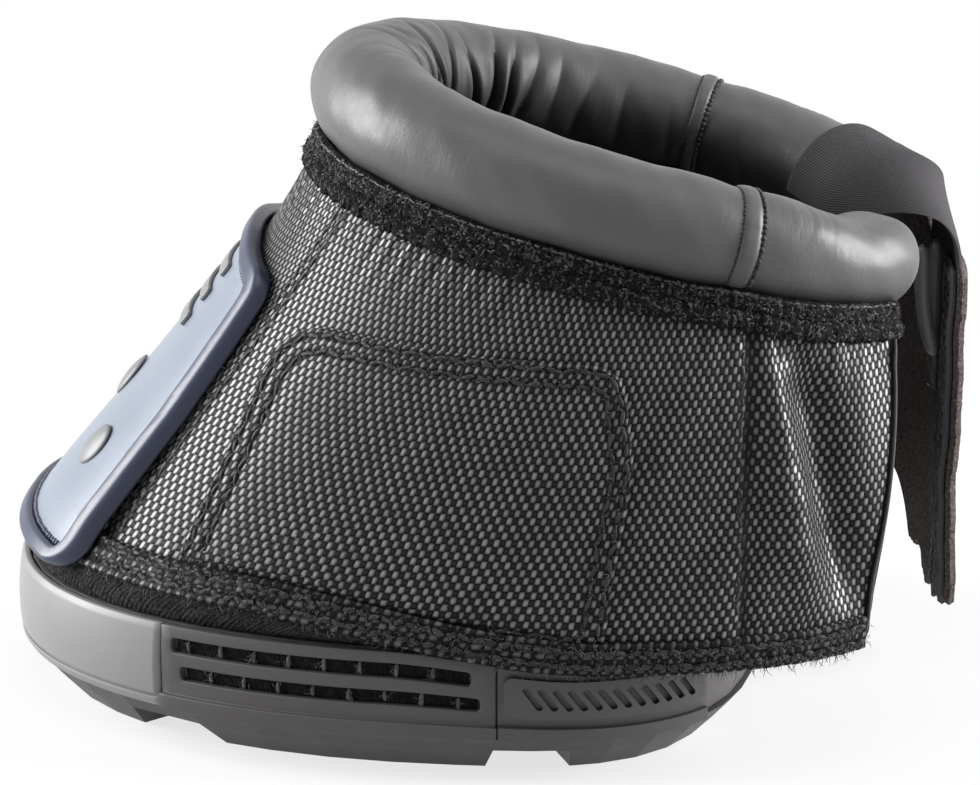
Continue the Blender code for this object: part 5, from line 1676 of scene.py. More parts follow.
def collar_creases():
    """Each crease's place along the collar, depth, width, lean and the angle that it centres on."""
    pick = np.random.default_rng(14)
    creases, run = [], -CREASE_REACH
    while run < CREASE_REACH:
        near_toe = 1 - float(smooth(abs(run - 0.010), 0.034, 0.050))
        depth = mix(*CREASE_DEPTH, near_toe) * pick.uniform(0.5, 1.1)
        width = mix(*CREASE_WIDTH, near_toe) * pick.uniform(0.8, 1.3)
        lean, centre = pick.uniform(-CREASE_LEAN, CREASE_LEAN), pick.uniform(2.9, 3.5)
        reach = mix(*CREASE_TURN, near_toe) * pick.uniform(0.85, 1.15)
        creases.append((run, depth, width, lean, centre, reach))
        run += mix(*CREASE_STEP, near_toe) * pick.uniform(0.7, 1.4)
    return creases


CREASES = collar_creases()


def wrap(angle):
    """The same angle, from -90 to 270 degrees."""
    return np.mod(angle + math.pi / 2, 2 * math.pi) - math.pi / 2


def crease_rise(turn, angle):
    """How far the creases' valleys go in and the pleats between them stand out."""
    run = turn * RUN_PER_TURN
    angle = wrap(angle)
    depth = np.zeros(np.broadcast(run, angle).shape)
    for place, deep, wide, lean, centre, reach in CREASES:
        off = run - place - lean * (angle - math.pi) - 0.0012 * np.sin(angle * 2.1 + place * 900)
        valley = np.exp(-(np.abs(off) / wide) ** 1.25) - 0.35 * bell(off, wide * 2.6)
        depth = depth - deep * valley * bell(angle - centre, reach) ** 2
    return depth * smooth(-np.abs(turn), -2.60, -2.45)


def collar_shade(turn, angle):
    """Painted shade on the leather: in its creases, down its inner face and under its outer one."""
    crease = smooth(-crease_rise(turn, angle), 0.0002, 0.0018)
    angle = wrap(angle)
    inside = smooth(angle, 1.90, 3.45) * smooth(-np.abs(turn), -2.60, -2.25)
    under = smooth(-angle, 0.15, 0.85)
    return 1 - (1 - INNER_SHADE * inside) * (1 - CREASE_SHADE * crease) * (1 - UNDER_SHADE * under)


def collar_skin(turn, angle):
    """How far the leather stands in or out of the collar's round section."""
    run = turn * RUN_PER_TURN
    angle = wrap(angle)
    sway = COLLAR_SWAY * ripple(run * 70 + angle * 0.8, 0.5)
    sway = sway + 0.0002 * ripple(run * 160 - angle * 1.3, 2.2)
    rear = bell(np.abs(turn) - 2.22, 0.12)
    weave = run * 1300 + 3.4 * np.sin(angle * 2) + angle * 2.5 + 40 * sway * angle
    lines = 0.00010 * ripple(weave, 1.1) * rear * bell(angle - 1.0, 0.7)
    droop = COLLAR_DROOP * smooth(-turn, 2.0, 2.42) * bell(angle - 1.6, 1.0)
    waist = COLLAR_END_WAIST * bell(turn + 2.43, 0.09) * bell(angle - 1.5, 1.1)
    return crease_rise(turn, angle) + sway + lines - waist - droop


def collar_place(turn, angle):
    """UV places in metres: the run along the collar and the way round it."""
    return np.stack([turn * RUN_PER_TURN, angle * COLLAR_RADIUS], -1)


def collar_rings(turns, dome):
    """Rings of points along the collar; a dome closes its heel end."""
    angle = np.linspace(-math.pi / 2, 1.5 * math.pi, 96, endpoint=False)
    turn, round_angle = np.meshgrid(turns, angle, indexing="ij")
    radius = collar_radius(turn) + collar_skin(turn, round_angle)
    rings = collar_point(turn, round_angle, radius)
    uv = collar_place(turn, round_angle)
    dark = collar_shade(turn, round_angle)
    if dome:
        last = turns[-1]
        way = collar_along(last) * np.sign(last)
        steps = np.sin(np.linspace(0.09, 0.5 * math.pi - 0.03, 18))
        middle = collar_centre(last)
        extra, extra_uv = [], []
        for step in steps:
            shrink = math.sqrt(1 - step * step)
            extra.append(middle + (rings[-1] - middle) * shrink + way * COLLAR_DOME * step)
            extra_uv.append(uv[-1] + np.array([COLLAR_DOME * step, 0]) * np.sign(last))
        rings = np.concatenate([rings, np.stack(extra)])
        uv = np.concatenate([uv, np.stack(extra_uv)])
        # The collar's painted shade fades out towards the dome's tip
        dark = np.concatenate([dark, dark[-1:] * np.linspace(0.95, 0, len(steps))[:, None]])
    return rings, uv, dark


def collar_front():
    """The padded roll from one wing seam round the toe to the other."""
    near, far = (collar_turn_at(STRIP_X[side] + STRIP_WIDTH / 2) for side in (LEFT, RIGHT))
    rings, uv, dark = collar_rings(np.linspace(-near, far, 520), False)
    piece = rod("collar_front", rings, "leather", uv, dark=dark)
    return hold(piece, "boot", "collar_cover_front", "collar_foam_front")


def collar_wing(word, side):
    """The padded roll along one wing, with its rounded end."""
    start = collar_turn_at(STRIP_X[side] + STRIP_WIDTH / 2 + GAP)
    rings, uv, dark = collar_rings(side * np.linspace(start, COLLAR_END_TURN, 110), True)
    piece = rod("collar_" + word, rings, "leather", uv, dark=dark)
    bend(piece, word, "collar_cover_" + word, "collar_foam_" + word)


def strip(word, side):
    """The leather strip over the collar's seam, with stitches behind it and piping before it."""
    places = np.linspace(0, STRIP_WIDTH, 9)
    turns = np.array([collar_turn_at(STRIP_X[side] + place) for place in places]) * side
    slot_place = slot_angle(turns[0])
    angle = np.linspace(slot_place + 0.16, slot_place + 2 * math.pi - 0.25, 90)
    turn, round_angle = np.meshgrid(turns, angle, indexing="ij")
    across = np.linspace(-1, 1, 9)[:, None]
    crown = STRIP_THICKNESS * (1 - 0.75 * across ** 4) + 0.00012 * ripple(round_angle * 9, 0.8)
    base = collar_radius(turn) + collar_skin(turn, round_angle)
    outer = collar_point(turn, round_angle, base + 0.0002 + crown)
    inner = collar_point(turn, round_angle, base + 0.0001)
    uv = collar_place(turn, round_angle)
    # The strip carries the collar's painted shade
    piece = slab("collar_seam_" + word, outer, inner, uv, "leather",
                 collar_shade(turn, round_angle))
    hold(piece, "boot", "collar_strip_" + word)
    for name, place, size, pitch in (("collar_stitches_", STRIP_WIDTH + 0.0005, 0.0010, 0.0012),
                                     ("collar_piping_", -0.0002, 0.0005, 0.0010)):
        seam_turn = side * collar_turn_at(STRIP_X[side] + place)
        radius = collar_radius(seam_turn) + collar_skin(seam_turn, angle) + size * 0.35
        points = collar_point(seam_turn, angle, radius)
        line = [(points, unit(points - collar_centre(seam_turn)))]
        bend(sew(name + word, line, pitch, size, "dark_thread", 71, 0.45), word)


# Toe shield

def shield_corners():
    right = [(SHIELD_BOTTOM_HALF, SHIELD_BOTTOM_HEIGHT - SHIELD_BOTTOM_SAG, SHIELD_CORNER),
             (SHIELD_MIDDLE_HALF, SHIELD_MIDDLE_HEIGHT, SHIELD_CORNER * 2),
             (SHIELD_TOP_HALF, SHIELD_SHOULDER_HEIGHT, SHIELD_CORNER * 0.7)]
    left = [(-x, y, r) for x, y, r in reversed(right)]
    return [(0.0, SHIELD_BOTTOM_HEIGHT, SHIELD_CORNER)] + right \
        + [(0.0, SHIELD_TOP_HEIGHT, SHIELD_CORNER * 2)] + left


def shield_blank(name):
    """The shield's flat outline as one face, with its corners rounded, left in edit mode."""
    corners = shield_corners()
    bpy.ops.object.select_all(action="DESELECT")
    bpy.ops.mesh.primitive_circle_add(vertices=len(corners), radius=SHIELD_TOP_HALF,
                                      fill_type="NGON")
    piece = bpy.context.object
    piece.name = name
    bpy.ops.object.mode_set(mode="EDIT")
    bm = bmesh.from_edit_mesh(piece.data)
    ring = sorted(bm.verts, key=lambda v: math.atan2(v.co.x, -v.co.y) % (2 * math.pi))
    for vertex, (x, y, _) in zip(ring, corners):
        vertex.co = (x, y, 0)
    bmesh.update_edit_mesh(piece.data)
    for x, y, radius in corners:
        choose(piece, lambda v: (v.co - Vector((x, y, 0))).length < 1e-6, "VERT")
        bpy.ops.mesh.bevel(offset=radius, segments=8, affect="VERTICES", profile=0.5)
    bpy.ops.mesh.select_all(action="SELECT")
    bpy.ops.mesh.normals_make_consistent(inside=False)
    return piece


def shield_rule(x, y, z):
    return front_point(x, y, shield_proud(y) + z)


def finish_shield(piece, look, node):
    """Bends a flat piece of the shield on to the boot's toe."""
    slice_up(piece, 0, -SHIELD_BOTTOM_HALF, SHIELD_BOTTOM_HALF, 0.0022)
    slice_up(piece, 1, SHIELD_BOTTOM_HEIGHT - SHIELD_BOTTOM_SAG, SHIELD_TOP_HEIGHT, 0.0022)
    lay(piece, shield_rule)
    dress(piece, piece.name, look)
    return hold(piece, "boot", node)


def middle_face(face):
    """Whether a face is the large one round the shield's middle."""
    return face.calc_area() > SHIELD_TOP_HALF * SHIELD_TOP_HALF


def shield_face():
    """The blue plate: a field set in a shallow step."""
    piece = shield_blank("shield_face")
    choose(piece, lambda face: True, "FACE")
    bpy.ops.mesh.inset(thickness=SHIELD_RIM_WIDTH + GAP, use_boundary=True)
    choose(piece, lambda face: not middle_face(face), "FACE")
    bpy.ops.mesh.delete(type="FACE")
    bpy.ops.mesh.select_all(action="SELECT")
    bpy.ops.mesh.extrude_region_move(TRANSFORM_OT_translate={"value": (0, 0, SHIELD_THICKNESS)})
    choose(piece, lambda face: middle_face(face) and face.calc_center_median().z > GAP, "FACE")
    bpy.ops.mesh.inset(thickness=0.0012, use_boundary=True)
    bpy.ops.transform.translate(value=(0, 0, -SHIELD_STEP))
    settle(piece)
    ease(piece, 0.00025)
    return finish_shield(piece, "plate", "shield_plate")


def shield_border():
    """The raised bead round the shield."""
    piece = shield_blank("shield_border")
    choose(piece, lambda face: True, "FACE")
    bpy.ops.mesh.inset(thickness=SHIELD_RIM_WIDTH, use_boundary=True)
    choose(piece, middle_face, "FACE")
    bpy.ops.mesh.delete(type="FACE")
    bpy.ops.mesh.select_all(action="SELECT")
    bpy.ops.mesh.extrude_region_move(TRANSFORM_OT_translate={"value": (0, 0, SHIELD_RIM_HEIGHT)})
    settle(piece)
    ease(piece, 0.0010, 4)
    return finish_shield(piece, "rim", "shield_rim")


def shield_groove():
    """The knurled line in the groove between the shield's field and its border."""
    outline = even_outline(rounded_outline(shield_corners(), 12), 400)
    outline = inset_outline(outline, SHIELD_RIM_WIDTH + 0.0006)
    outline = np.concatenate([outline, outline[:1]])
    x, y = outline[:, 0], outline[:, 1]
    points = shield_rule(x, y, SHIELD_THICKNESS - 0.0001)
    normals = shield_rule(x, y, SHIELD_THICKNESS + 0.001) - points
    piece = sew("shield_knurl", [(points, normals)], 0.0013, 0.0012, "knurl", 17, 0.02)
    return hold(piece, "boot")


def studs():
    """Three plain domed studs, each with a flat foot ring."""
    for number, (across, height) in enumerate(STUD_PLACES):
        bpy.ops.object.select_all(action="DESELECT")
        bpy.ops.mesh.primitive_cylinder_add(vertices=40, radius=STUD_RADIUS, depth=STUD_DOME * 0.35,
                                            location=(0, 0, STUD_DOME * 0.175))
        piece = bpy.context.object
        bpy.ops.object.mode_set(mode="EDIT")
        choose(piece, lambda face: face.normal.z > 0.5, "FACE")
        for reach, lift in STUD_RINGS:
            bpy.ops.mesh.inset(thickness=STUD_RADIUS * 0.25 * reach)
            bpy.ops.transform.translate(value=(0, 0, STUD_DOME * lift * 0.7))
        settle(piece)
        ease(piece, 0.00025, 3)
        seat = shield_proud(height) + FIELD_FACE
        lay(piece, lambda x, y, z: front_point(x + across, y + height, seat + z))
        dress(piece, "stud_%d" % (number + 1), "stud", 30)
        hold(piece, "boot", "shield_stud_%d" % (number + 1))


def bars():
    """Plain raised bars near the top of the shield."""
    for number, height in enumerate(BAR_HEIGHTS):
        piece = start_cube("bar", (-BAR_LENGTH / 2, height - BAR_WIDTH / 2, FIELD_FACE),
                           (BAR_LENGTH / 2, height + BAR_WIDTH / 2, FIELD_FACE + BAR_THICKNESS))
        choose(piece, upright)
        bpy.ops.mesh.bevel(offset=BAR_WIDTH * 0.3, segments=4, affect="EDGES")
        settle(piece)
        ease(piece, 0.00025, 3)
        slice_up(piece, 0, -BAR_LENGTH / 2, BAR_LENGTH / 2, 0.0015)
        lay(piece, shield_rule)
        dress(piece, "bar_%d" % (number + 1), "stud", 30)
        hold(piece, "boot", "shield_bar_%d" % (number + 1))


# Heel flap and band

def flap_hinge_point(height):
    """The right wing's rear edge, just outside its fabric."""
    height = np.asarray(height, float)
    low = float(wall_base(wing_edge_turn(0.0), 0.0)[..., 2])
    high = float(wall_base(wing_edge_turn(1.0), 1.0)[..., 2])
    rise = (height - low) / (high - low)
    point = wall(wing_edge_turn(rise), rise, GAP + BINDING + SEW_GAP, False)
    return points_of(point[..., 0], point[..., 1], height)


def flap_plan(along, height, proud):
    """The flap's plan: from the far wing's edge round to its free edge at the heel."""
    along, height, proud = floats(along, height, proud)
    hinge = flap_hinge_point(height)
    bend_at = points_of(FLAP_BEND_X, FLAP_BEND_Y, height)
    free = points_of(FLAP_REACH_X, FLAP_FREE_Y, height)
    share = along[..., None]
    first, second = mix(hinge, bend_at, share), mix(bend_at, free, share)
    ahead = second - first
    normal = unit(points_of(ahead[..., 1], -ahead[..., 0], 0))
    normal = np.where(normal[..., :1] > 0, normal, -normal)
    return mix(first, second, share) + normal * proud[..., None]


def flap_bottom(along):
    rag = FLAP_RAG * np.sin(along * FLAP_RAG_WAVES * math.pi) * smooth(along, 0.3, 0.5)
    fine = 0.0008 * ripple(along * 120, 0.6) * smooth(along, 0.3, 0.5)
    return mix(FLAP_HINGE_BOTTOM_HEIGHT, FLAP_TIP_HEIGHT, smooth(along, 0.15, 0.55)) + rag + fine


def flap_sway(along, up):
    """How far the flap's free part waves to and fro."""
    return 0.0006 * ripple(up * 6 + along * 2, 0.9) * smooth(along, 0.2, 0.7)


def flap():
    """The dark loop panel that closes the heel."""
    along, up = np.meshgrid(np.linspace(FLAP_START_SHARE, 1, 130), np.linspace(0, 1, 120))
    head = FLAP_TOP_HEIGHT + FLAP_HEAD * smooth(-along, -0.42, -0.36) * smooth(along, -0.02, 0.04)
    height = mix(flap_bottom(along), head, up)
    nap = 0.00015 * ripple(along * 160 + up * 70, 0.2)
    sway = flap_sway(along, up)
    outer = flap_plan(along, height, FLAP_THICKNESS + nap + sway)
    inner = flap_plan(along, height, sway)
    uv = np.stack([along * FLAP_WEAVE_RUN, height], -1)
    piece = slab("flap", outer, inner, uv, "loop")
    cut_cloth(inner)
    hold(piece, "heel_flap", "heel_flap")
    edge_tape()


def edge_tape():
    """The doubled tape inside the flap's free edge, with three rows of light stitches."""
    along, up = np.meshgrid(np.linspace(*EDGE_TAPE_SHARES, 30), np.linspace(0, 1, 110))
    height = mix(flap_bottom(along) + FLAP_RAG * 0.4, FLAP_TOP_HEIGHT, up)
    start, end = EDGE_TAPE_SHARES
    ribs = 0.00025 * np.abs(np.sin((along - start) / (end - start) * 3.5 * math.pi))
    face = flap_sway(along, up) - SEW_GAP / 2
    outer, inner = flap_plan(along, height, face), flap_plan(along, height, face - EDGE_TAPE - ribs)
    uv = np.stack([along * FLAP_WEAVE_RUN, height], -1)
    piece = slab("flap_tape", outer, inner, uv, "twill")
    hold(piece, "heel_flap", "flap_edge_tape")
    lines = []
    for share in EDGE_TAPE_ROWS:
        height = np.linspace(float(flap_bottom(share)) + 0.002, FLAP_TOP_HEIGHT - 0.001, 120)
        up = (height - height[0]) / (height[-1] - height[0])
        wave = flap_sway(share, up)
        points = flap_plan(share, height, wave - SEW_GAP / 2 - EDGE_TAPE - 0.0003)
        normals = points - flap_plan(share, height, wave)
        lines.append((points, normals))
    sewn = sew("flap_stitches", lines, 0.0024, STITCH, "thread", 81, 0.1)
    hold(sewn, "heel_flap")


def hood_angle(across):
    """Angle round the collar's end: inner and low first, then over the top to the outside."""
    return np.radians(mix(BAND_INNER_ANGLE, BAND_OUTER_ANGLE, across))


def band_path(along, across, proud):
    """The band's free run, from the collar's end over and down to the flap's top."""
    along, across, proud = floats(along, across, proud)
    turn = np.full(along.shape, COLLAR_END_TURN)
    away = collar_along(turn)
    start = collar_point(turn, hood_angle(across), collar_radius(turn) + DOME_GAP + proud)
    start = start + away * SEW_GAP
    end = flap_plan(mix(*BAND_REACH_SHARES, across), FLAP_TOP_HEIGHT + SEW_GAP, proud)
    lead = start + away * BAND_DRAPE_PULL / 2
    drop = end + UP * BAND_DROP_PULL / 2
    share = along[..., None]
    a, b, c = mix(start, lead, share), mix(lead, drop, share), mix(drop, end, share)
    return mix(mix(a, b, share), mix(b, c, share), share)


def band():
    """The ribbed twill band: a sleeve over the collar's end that runs down to the flap."""
    columns = 84
    across = np.linspace(0, 1, columns)
    root = []
    for face in (1.0, 0.12):
        rows = []
        for share in np.linspace(0, 1, 30):
            start = np.radians(BAND_START_TURN + BAND_LEAD_TURN * across)
            turn = mix(start, COLLAR_END_TURN, share)
            lift = smooth(share, 0, 0.06) * 0.5 + 0.5
            radius = collar_radius(turn) + DOME_GAP * 0.7 + face * BAND_THICKNESS * lift
            rows.append(collar_point(turn, hood_angle(across), radius))
        for share in np.linspace(0.03, 1, 70):
            rows.append(band_path(share, across, face * BAND_THICKNESS))
        root.append(np.stack(rows))
    outer, inner = root
    run = lengths_along(outer[:, columns // 2])[:, None]
    uv = np.stack(np.broadcast_arrays(across * BAND_WIDTH, run), -1)
    piece = slab("band", outer, inner, uv, "twill")
    cut_cloth(outer)
    end = collar_centre(COLLAR_END_TURN)
    way = collar_along(COLLAR_END_TURN)
    tuple(end - way * 0.001)
    tuple(end + way * 0.009)
    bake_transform(piece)
    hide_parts("heel_band", "heel_band_root")


def rolls():
    """Two rolled leather folds that hang from the band down the flap's inner face."""
    height = np.linspace(ROLL_TOP_HEIGHT, ROLL_FOOT_HEIGHT, ROLL_ROWS)
    share = np.linspace(0, 1, ROLL_ROWS)
    round_off = np.sqrt(np.maximum(0.02, 1 - np.abs(2 * share - 1) ** 9))
    angle = np.linspace(0, 2 * np.pi, ROLL_SIDES, endpoint=False)
    uv = np.stack(np.broadcast_arrays(share[:, None] * 0.03, angle * 0.002), -1)
    for number, across in enumerate(ROLL_ACROSS_SHARES):
        reach = mix(*BAND_REACH_SHARES, across) - 0.04
        bow = ROLL_BOW * (1 - number) * (1 - share ** 3)
        centre = flap_plan(reach, height, -EDGE_TAPE - 2 * SEW_GAP - ROLL_DEPTH / 2 - bow)
        ahead = unit(np.gradient(centre, axis=0))
        side = unit(np.cross(ahead, (1.0, -0.15, 0.0)))
        deep = np.cross(ahead, side)
        swell = round_off * (1 + 0.05 * ripple(share * 20, 0.6 + number))
        wide, high = swell[:, None] * ROLL_WIDTH / 2, swell[:, None] * ROLL_DEPTH / 2
        rings = ovals(centre, side, deep, wide, high, ROLL_SIDES)
        piece = rod("roll_%d" % (number + 1), rings, "leather", uv)
        hold(piece, "heel_flap", "leather_roll_%d" % (number + 1))


def tab():
    """The short leather tab with a crumpled foot."""
    across, up = np.meshgrid(np.linspace(-0.5, 0.5, 16), np.linspace(0, 1, 34))
    height = TAB_TOP_HEIGHT - TAB_LENGTH * (1 - up) + 0.0003 * ripple(across * 9, 0.4)
    side = flap_plan(TAB_SHARE + 0.02, height, 0) - flap_plan(TAB_SHARE - 0.02, height, 0)
    crumple = TAB_CRUMPLE * ripple(up * 14 + across * 5, 1.4)
    grids = []
    for depth in (0.0, TAB_THICKNESS):
        base = flap_plan(TAB_SHARE, height, -SEW_GAP - depth - crumple * (depth > 0))
        grids.append(base + unit(side) * (TAB_WIDTH * across)[..., None])
    uv = np.stack([across * TAB_WIDTH, up * TAB_LENGTH], -1)
    piece = slab("tab", grids[0], grids[1], uv, "leather")
    hold(piece, "heel_flap", "pull_tab")


def hook_strip():
    """The hook tape inside the left wing's edge, with its rows of bristles."""
    proud = -NYLON - GAP - LINING - DOME_GAP
    across, up = shares(24, 70)
    rise = mix(*HOOK_TAPE_RISES, up)
    end = wing_edge_turn(rise)
    root = mix(wall_turn_at_x(WING_SEAM_X, rise), end, HOOK_TAPE_ROOT_SHARE)
    turn = -mix(root, end + HOOK_TAPE_REACH_TURN, across)
    outer, inner = wall(turn, rise, proud), wall(turn, rise, proud - HOOK_TAPE_THICKNESS)
    piece = slab("hook_strip", outer, inner, weave_place(turn, outer), "hook_base")
    hold(piece, "left_wing", "hook_tape")
    pick = np.random.default_rng(91)
    share, place = pick.uniform(0, 1, HOOKS), pick.uniform(0.02, 1, HOOKS)
    rise = mix(*HOOK_TAPE_RISES, place)
    edge = -(wing_edge_turn(rise) + HOOK_TAPE_REACH_TURN * mix(0.2, 1, share))
    roots = wall(edge, rise, proud - HOOK_TAPE_THICKNESS * pick.uniform(0, 1, HOOKS))
    back = unit(wall_base(edge - 0.01, rise) - wall_base(edge, rise))
    ways = back * pick.uniform(0.2, 1, (HOOKS, 1))
    ways = ways - wall_normal(edge, rise) * pick.uniform(-0.5, 0.9, (HOOKS, 1))
    ways = ways + pick.normal(0, 0.35, (HOOKS, 3))
    reach = pick.uniform(0.0006, 0.0014, HOOKS)
    hold(threads("hooks", roots, ways, reach, 0.00011, "hooks", 93, 0.9), "left_wing")


# Stage

def aim(name, data, place, target):
    """A lamp or a camera at a place, turned to a target."""
    made = bpy.data.objects.new(name, data)
    made.location = place
    made.rotation_euler = (Vector(target) - Vector(place)).to_track_quat("-Z", "Y").to_euler()
    bpy.context.scene.collection.objects.link(made)
    return made


def area_light(name, place, target, size, power):
    lamp = bpy.data.lights.new(name, "AREA")
    lamp.shape = "RECTANGLE"
    lamp.size, lamp.size_y = size
    lamp.energy = power
    aim(name, lamp, place, target)


def seen(tree):
    """1 for a camera, glossy or transmission ray, else 0."""
    path = tree.nodes.new("ShaderNodeLightPath")
    rays = [Wire(tree, path.outputs[name]) for name in
            ("Is Camera Ray", "Is Glossy Ray", "Is Transmission Ray")]
    return (rays[0] + rays[1] + rays[2]).clip()


def floor():
    """A pale floor that fades to white round the boot and keeps its shadow."""
    bpy.ops.object.select_all(action="DESELECT")
    bpy.ops.mesh.primitive_plane_add(size=8.0, location=(0, 0, -0.0002))
    piece = bpy.context.object
    piece.name = "floor"
    bpy.ops.object.transform_apply(location=True)
    material = bpy.data.materials.new("pale_floor")
    material.use_nodes = True
    tree = material.node_tree
    shader = tree.nodes["Principled BSDF"]
    shader.inputs["Base Color"].default_value = (0.72, 0.72, 0.72, 1)
    shader.inputs["Roughness"].default_value = 0.9
    shader.inputs["Specular IOR Level"].default_value = 0.1
    place = tree.nodes.new("ShaderNodeTexCoord")
    away = node(tree, "ShaderNodeVectorMath", {0: Wire(tree, place.outputs["Object"])}, out=1,
                operation="LENGTH")
    far = ((away - 0.12) / 0.22).clip() * 0.26 + 0.74
    white = node(tree, "ShaderNodeEmission", {"Color": (1.0, 1.0, 1.0), "Strength": 1.0})
    mixed = node(tree, "ShaderNodeMixShader",
                 {0: seen(tree) * far, 1: Wire(tree, shader.outputs[0]), 2: white})
    tree.links.new(mixed.socket, tree.nodes["Material Output"].inputs["Surface"])
    piece.data.materials.append(material)


def sky(settings):
    world = bpy.data.worlds.new("studio")
    bpy.context.scene.world = world
    world.use_nodes = True
    tree = world.node_tree
    background = tree.nodes["Background"]
    white = Wire(tree, background.outputs[0])
    background.inputs["Color"].default_value = (1, 1, 1, 1)
    background.inputs["Strength"].default_value = 1.0
    ambient = node(tree, "ShaderNodeBackground",
                   {"Color": (1.0, 1.0, 1.0), "Strength": settings.ambient})
    mixed = node(tree, "ShaderNodeMixShader", {0: seen(tree), 1: ambient, 2: white})
    tree.links.new(mixed.socket, tree.nodes["World Output"].inputs["Surface"])


def camera(settings):
    azimuth, elevation = math.radians(settings.azimuth), math.radians(settings.elevation)
    target = Vector(CAMERA_TARGET)
    level = math.cos(elevation)
    back = Vector((math.sin(azimuth) * level, -math.cos(azimuth) * level, math.sin(elevation)))
    lens = bpy.data.cameras.new("camera")
    lens.lens, lens.sensor_width = LENS, SENSOR
    bpy.context.scene.camera = aim("camera", lens, target + back * settings.distance, target)


# Settings, operators and panel

class BootCloth(bpy.types.PropertyGroup):
    weave_width: FloatProperty(name="Weave Width", description="Width of one yarn of the nylon",
                               default=0.00100, unit="LENGTH")
    weave_height: FloatProperty(name="Weave Height", description="Height of one row of the nylon",
                                default=0.00155, unit="LENGTH")
    weave_lean: FloatProperty(name="Weave Lean", default=0.05,
                              description="How far the yarns lean, in yarns a row")
    weave_depth: FloatProperty(name="Weave Depth", description="Height of the yarns' crowns",
                               default=0.00040, unit="LENGTH")
    twill_pitch: FloatProperty(name="Twill Pitch", description="Distance between the band's ribs",
                               default=0.00048, unit="LENGTH")
    stitch_pitch: FloatProperty(name="Stitch Pitch", description="Length of one stitch",
                                default=0.0033, unit="LENGTH")
    # Nylon Dark sits between the yarns, where it is painted shade; the crowns' colour is painted
    # highlight
    nylon_dark: FloatVectorProperty(name="Nylon Dark", description="Colour between the yarns",
                                    default=(0.005, 0.0045, 0.005), subtype="COLOR")
    nylon_crown_highlight: FloatVectorProperty(name="Nylon Light", description="Colour of the yarns' crowns",
                                     default=(0.160, 0.150, 0.155), subtype="COLOR")


class BootCollar(bpy.types.PropertyGroup):
    leather_colour: FloatVectorProperty(name="Leather",
                                        description="Colour of the collar's leather",
                                        default=(0.075, 0.074, 0.077), subtype="COLOR")
    leather_roughness: FloatProperty(name="Roughness", description="Roughness of the leather",
                                     default=0.40, subtype="FACTOR")


class BootMouldings(bpy.types.PropertyGroup):
    # The toe wall's colour is the side frames' rubber written lighter: painted light from the left
    toe_colour_and_light: FloatVectorProperty(name="Toe Wall", description="Colour of the toe wall",
                                    default=(0.170, 0.168, 0.172), subtype="COLOR")
    toe_roughness: FloatProperty(name="Toe Roughness", description="Roughness of the toe wall",
                                 default=0.42, subtype="FACTOR")
    sole_colour: FloatVectorProperty(name="Sole", description="Colour of the side frames",
                                     default=(0.055, 0.051, 0.052), subtype="COLOR")
    sole_roughness: FloatProperty(name="Sole Roughness", description="Roughness of the side frames",
                                  default=0.48, subtype="FACTOR")
    tread_colour: FloatVectorProperty(name="Tread", description="Colour of the tread",
                                      default=(0.050, 0.047, 0.047), subtype="COLOR")
    shield_colour: FloatVectorProperty(name="Shield", description="Colour of the shield's field",
                                       default=(0.152, 0.171, 0.214), subtype="COLOR")
    rim_colour: FloatVectorProperty(name="Shield Border", description="Colour of the shield's bead",
                                    default=(0.020, 0.026, 0.054), subtype="COLOR")


class BootStage(bpy.types.PropertyGroup):
    azimuth: FloatProperty(name="Azimuth", default=5.0,
                           description="The camera's angle round the boot, in degrees")
    elevation: FloatProperty(name="Elevation", default=17.0,
                             description="The camera's angle above the floor, in degrees")
    distance: FloatProperty(name="Distance", description="The camera's distance", default=0.80,
                            unit="LENGTH")
    ambient: FloatProperty(name="Ambient", description="Strength of the light from all round",
                           default=0.18)
    key: FloatProperty(name="Key", description="Power of the main lamp", default=27.0, unit="POWER")


class BOOT_OT_sole(bpy.types.Operator):
    """Model the toe wall, side frames, rear panels, insole and channel threads"""
    bl_idname = "boot.sole"
    bl_label = "Sole"

    def execute(self, context):
        bottom()
        toe_wall()
        for word, side in SIDES:
            side_frame(word, side)
            heel_panel(word, side)
            channel_threads(word, side)
        insole()
        return {"FINISHED"}


class BOOT_OT_upper(bpy.types.Operator):
    """Sew the nylon, the lining, the patches, the tapes and their stitches"""
    bl_idname = "boot.upper"
    bl_label = "Upper"

    def execute(self, context):
        toe_cloth()
        skirt()
        for word, side in SIDES:
            upper(word, side)
            lining(word, side)
            side_patch(word, side)
            hem_band(word, side)
            binding(word, side)
            seams(word, side)
            frill(word, side)
            wing_edge(word, side)
        return {"FINISHED"}


class BOOT_OT_collar(bpy.types.Operator):
    """Pad the leather collar and fold the strips over its seams"""
    bl_idname = "boot.collar"
    bl_label = "Collar"

    def execute(self, context):
        collar_front()
        for word, side in SIDES:
            collar_wing(word, side)
            strip(word, side)
        return {"FINISHED"}


class BOOT_OT_shield(bpy.types.Operator):
    """Mould the toe shield with its border, studs and bars"""
    bl_idname = "boot.shield"
    bl_label = "Toe Shield"

    def execute(self, context):
        shield_face()
        shield_border()
        shield_groove()
        studs()
        bars()
        return {"FINISHED"}


class BOOT_OT_heel(bpy.types.Operator):
    """Hang the heel flap, its band, rolls and tab, and the hook tape"""
    bl_idname = "boot.heel"
    bl_label = "Heel Flap"

    def execute(self, context):
        flap()
        band()
        rolls()
        tab()
        hook_strip()
        return {"FINISHED"}


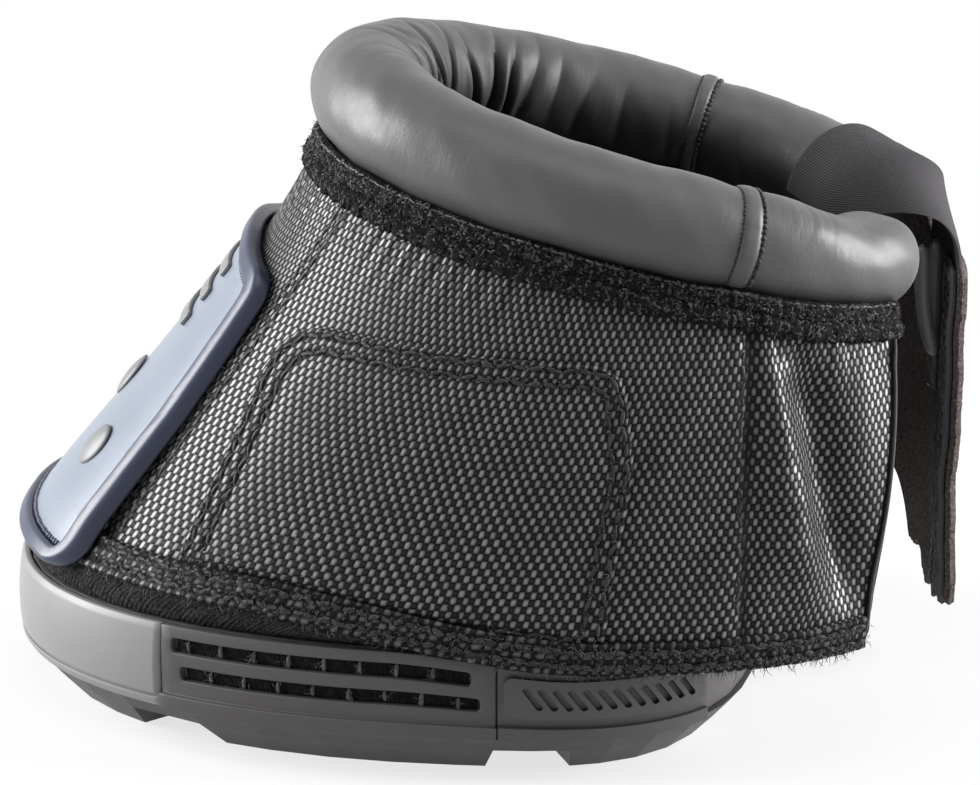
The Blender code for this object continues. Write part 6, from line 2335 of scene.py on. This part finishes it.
class BOOT_OT_stage(bpy.types.Operator):
    """Set the floor, the lamps, the world and the camera"""
    bl_idname = "boot.stage"
    bl_label = "Stage"

    def execute(self, context):
        settings = context.scene.boot_stage
        context.scene.view_settings.view_transform = "Standard"
        floor()
        sky(settings)
        area_light("left", (-0.95, 0.04, 0.36), (0.0, 0.0, 0.06), (0.7, 0.8), settings.key)
        area_light("right", (0.88, 0.05, 0.34), (0.05, 0.0, 0.06), (0.4, 0.7), settings.key * 0.72)
        area_light("top", (0.0, -0.25, 1.1), (0.03, 0.0, 0.08), (0.7, 0.5), settings.key * 0.11)
        camera(settings)
        return {"FINISHED"}


class BOOT_PT_panel(bpy.types.Panel):
    bl_label = "Hoof Boot"
    bl_idname = "BOOT_PT_panel"
    bl_space_type = "VIEW_3D"
    bl_region_type = "UI"
    bl_category = "Hoof Boot"

    def draw(self, context):
        for group in ("boot_cloth", "boot_collar", "boot_mouldings", "boot_stage"):
            box = self.layout.box()
            settings = getattr(context.scene, group)
            for name in settings.bl_rna.properties.keys():
                if name not in ("rna_type", "name"):
                    box.prop(settings, name)
        for operator in OPERATORS:
            self.layout.operator(operator.bl_idname)


GROUPS = {"boot_cloth": BootCloth, "boot_collar": BootCollar, "boot_mouldings": BootMouldings,
          "boot_stage": BootStage}
OPERATORS = (BOOT_OT_sole, BOOT_OT_upper, BOOT_OT_collar, BOOT_OT_shield, BOOT_OT_heel,
             BOOT_OT_stage)


def register():
    for made in (*GROUPS.values(), *OPERATORS, BOOT_PT_panel):
        bpy.utils.register_class(made)
    for name, group in GROUPS.items():
        setattr(bpy.types.Scene, name, PointerProperty(type=group))


def unregister():
    for name in GROUPS:
        delattr(bpy.types.Scene, name)
    for made in (BOOT_PT_panel, *reversed(OPERATORS), *GROUPS.values()):
        bpy.utils.unregister_class(made)


def main():
    register()
    bpy.ops.boot.sole()
    bpy.ops.boot.upper()
    bpy.ops.boot.collar()
    bpy.ops.boot.shield()
    bpy.ops.boot.heel()
    bpy.ops.boot.stage()


if __name__ == "__main__":
    main()
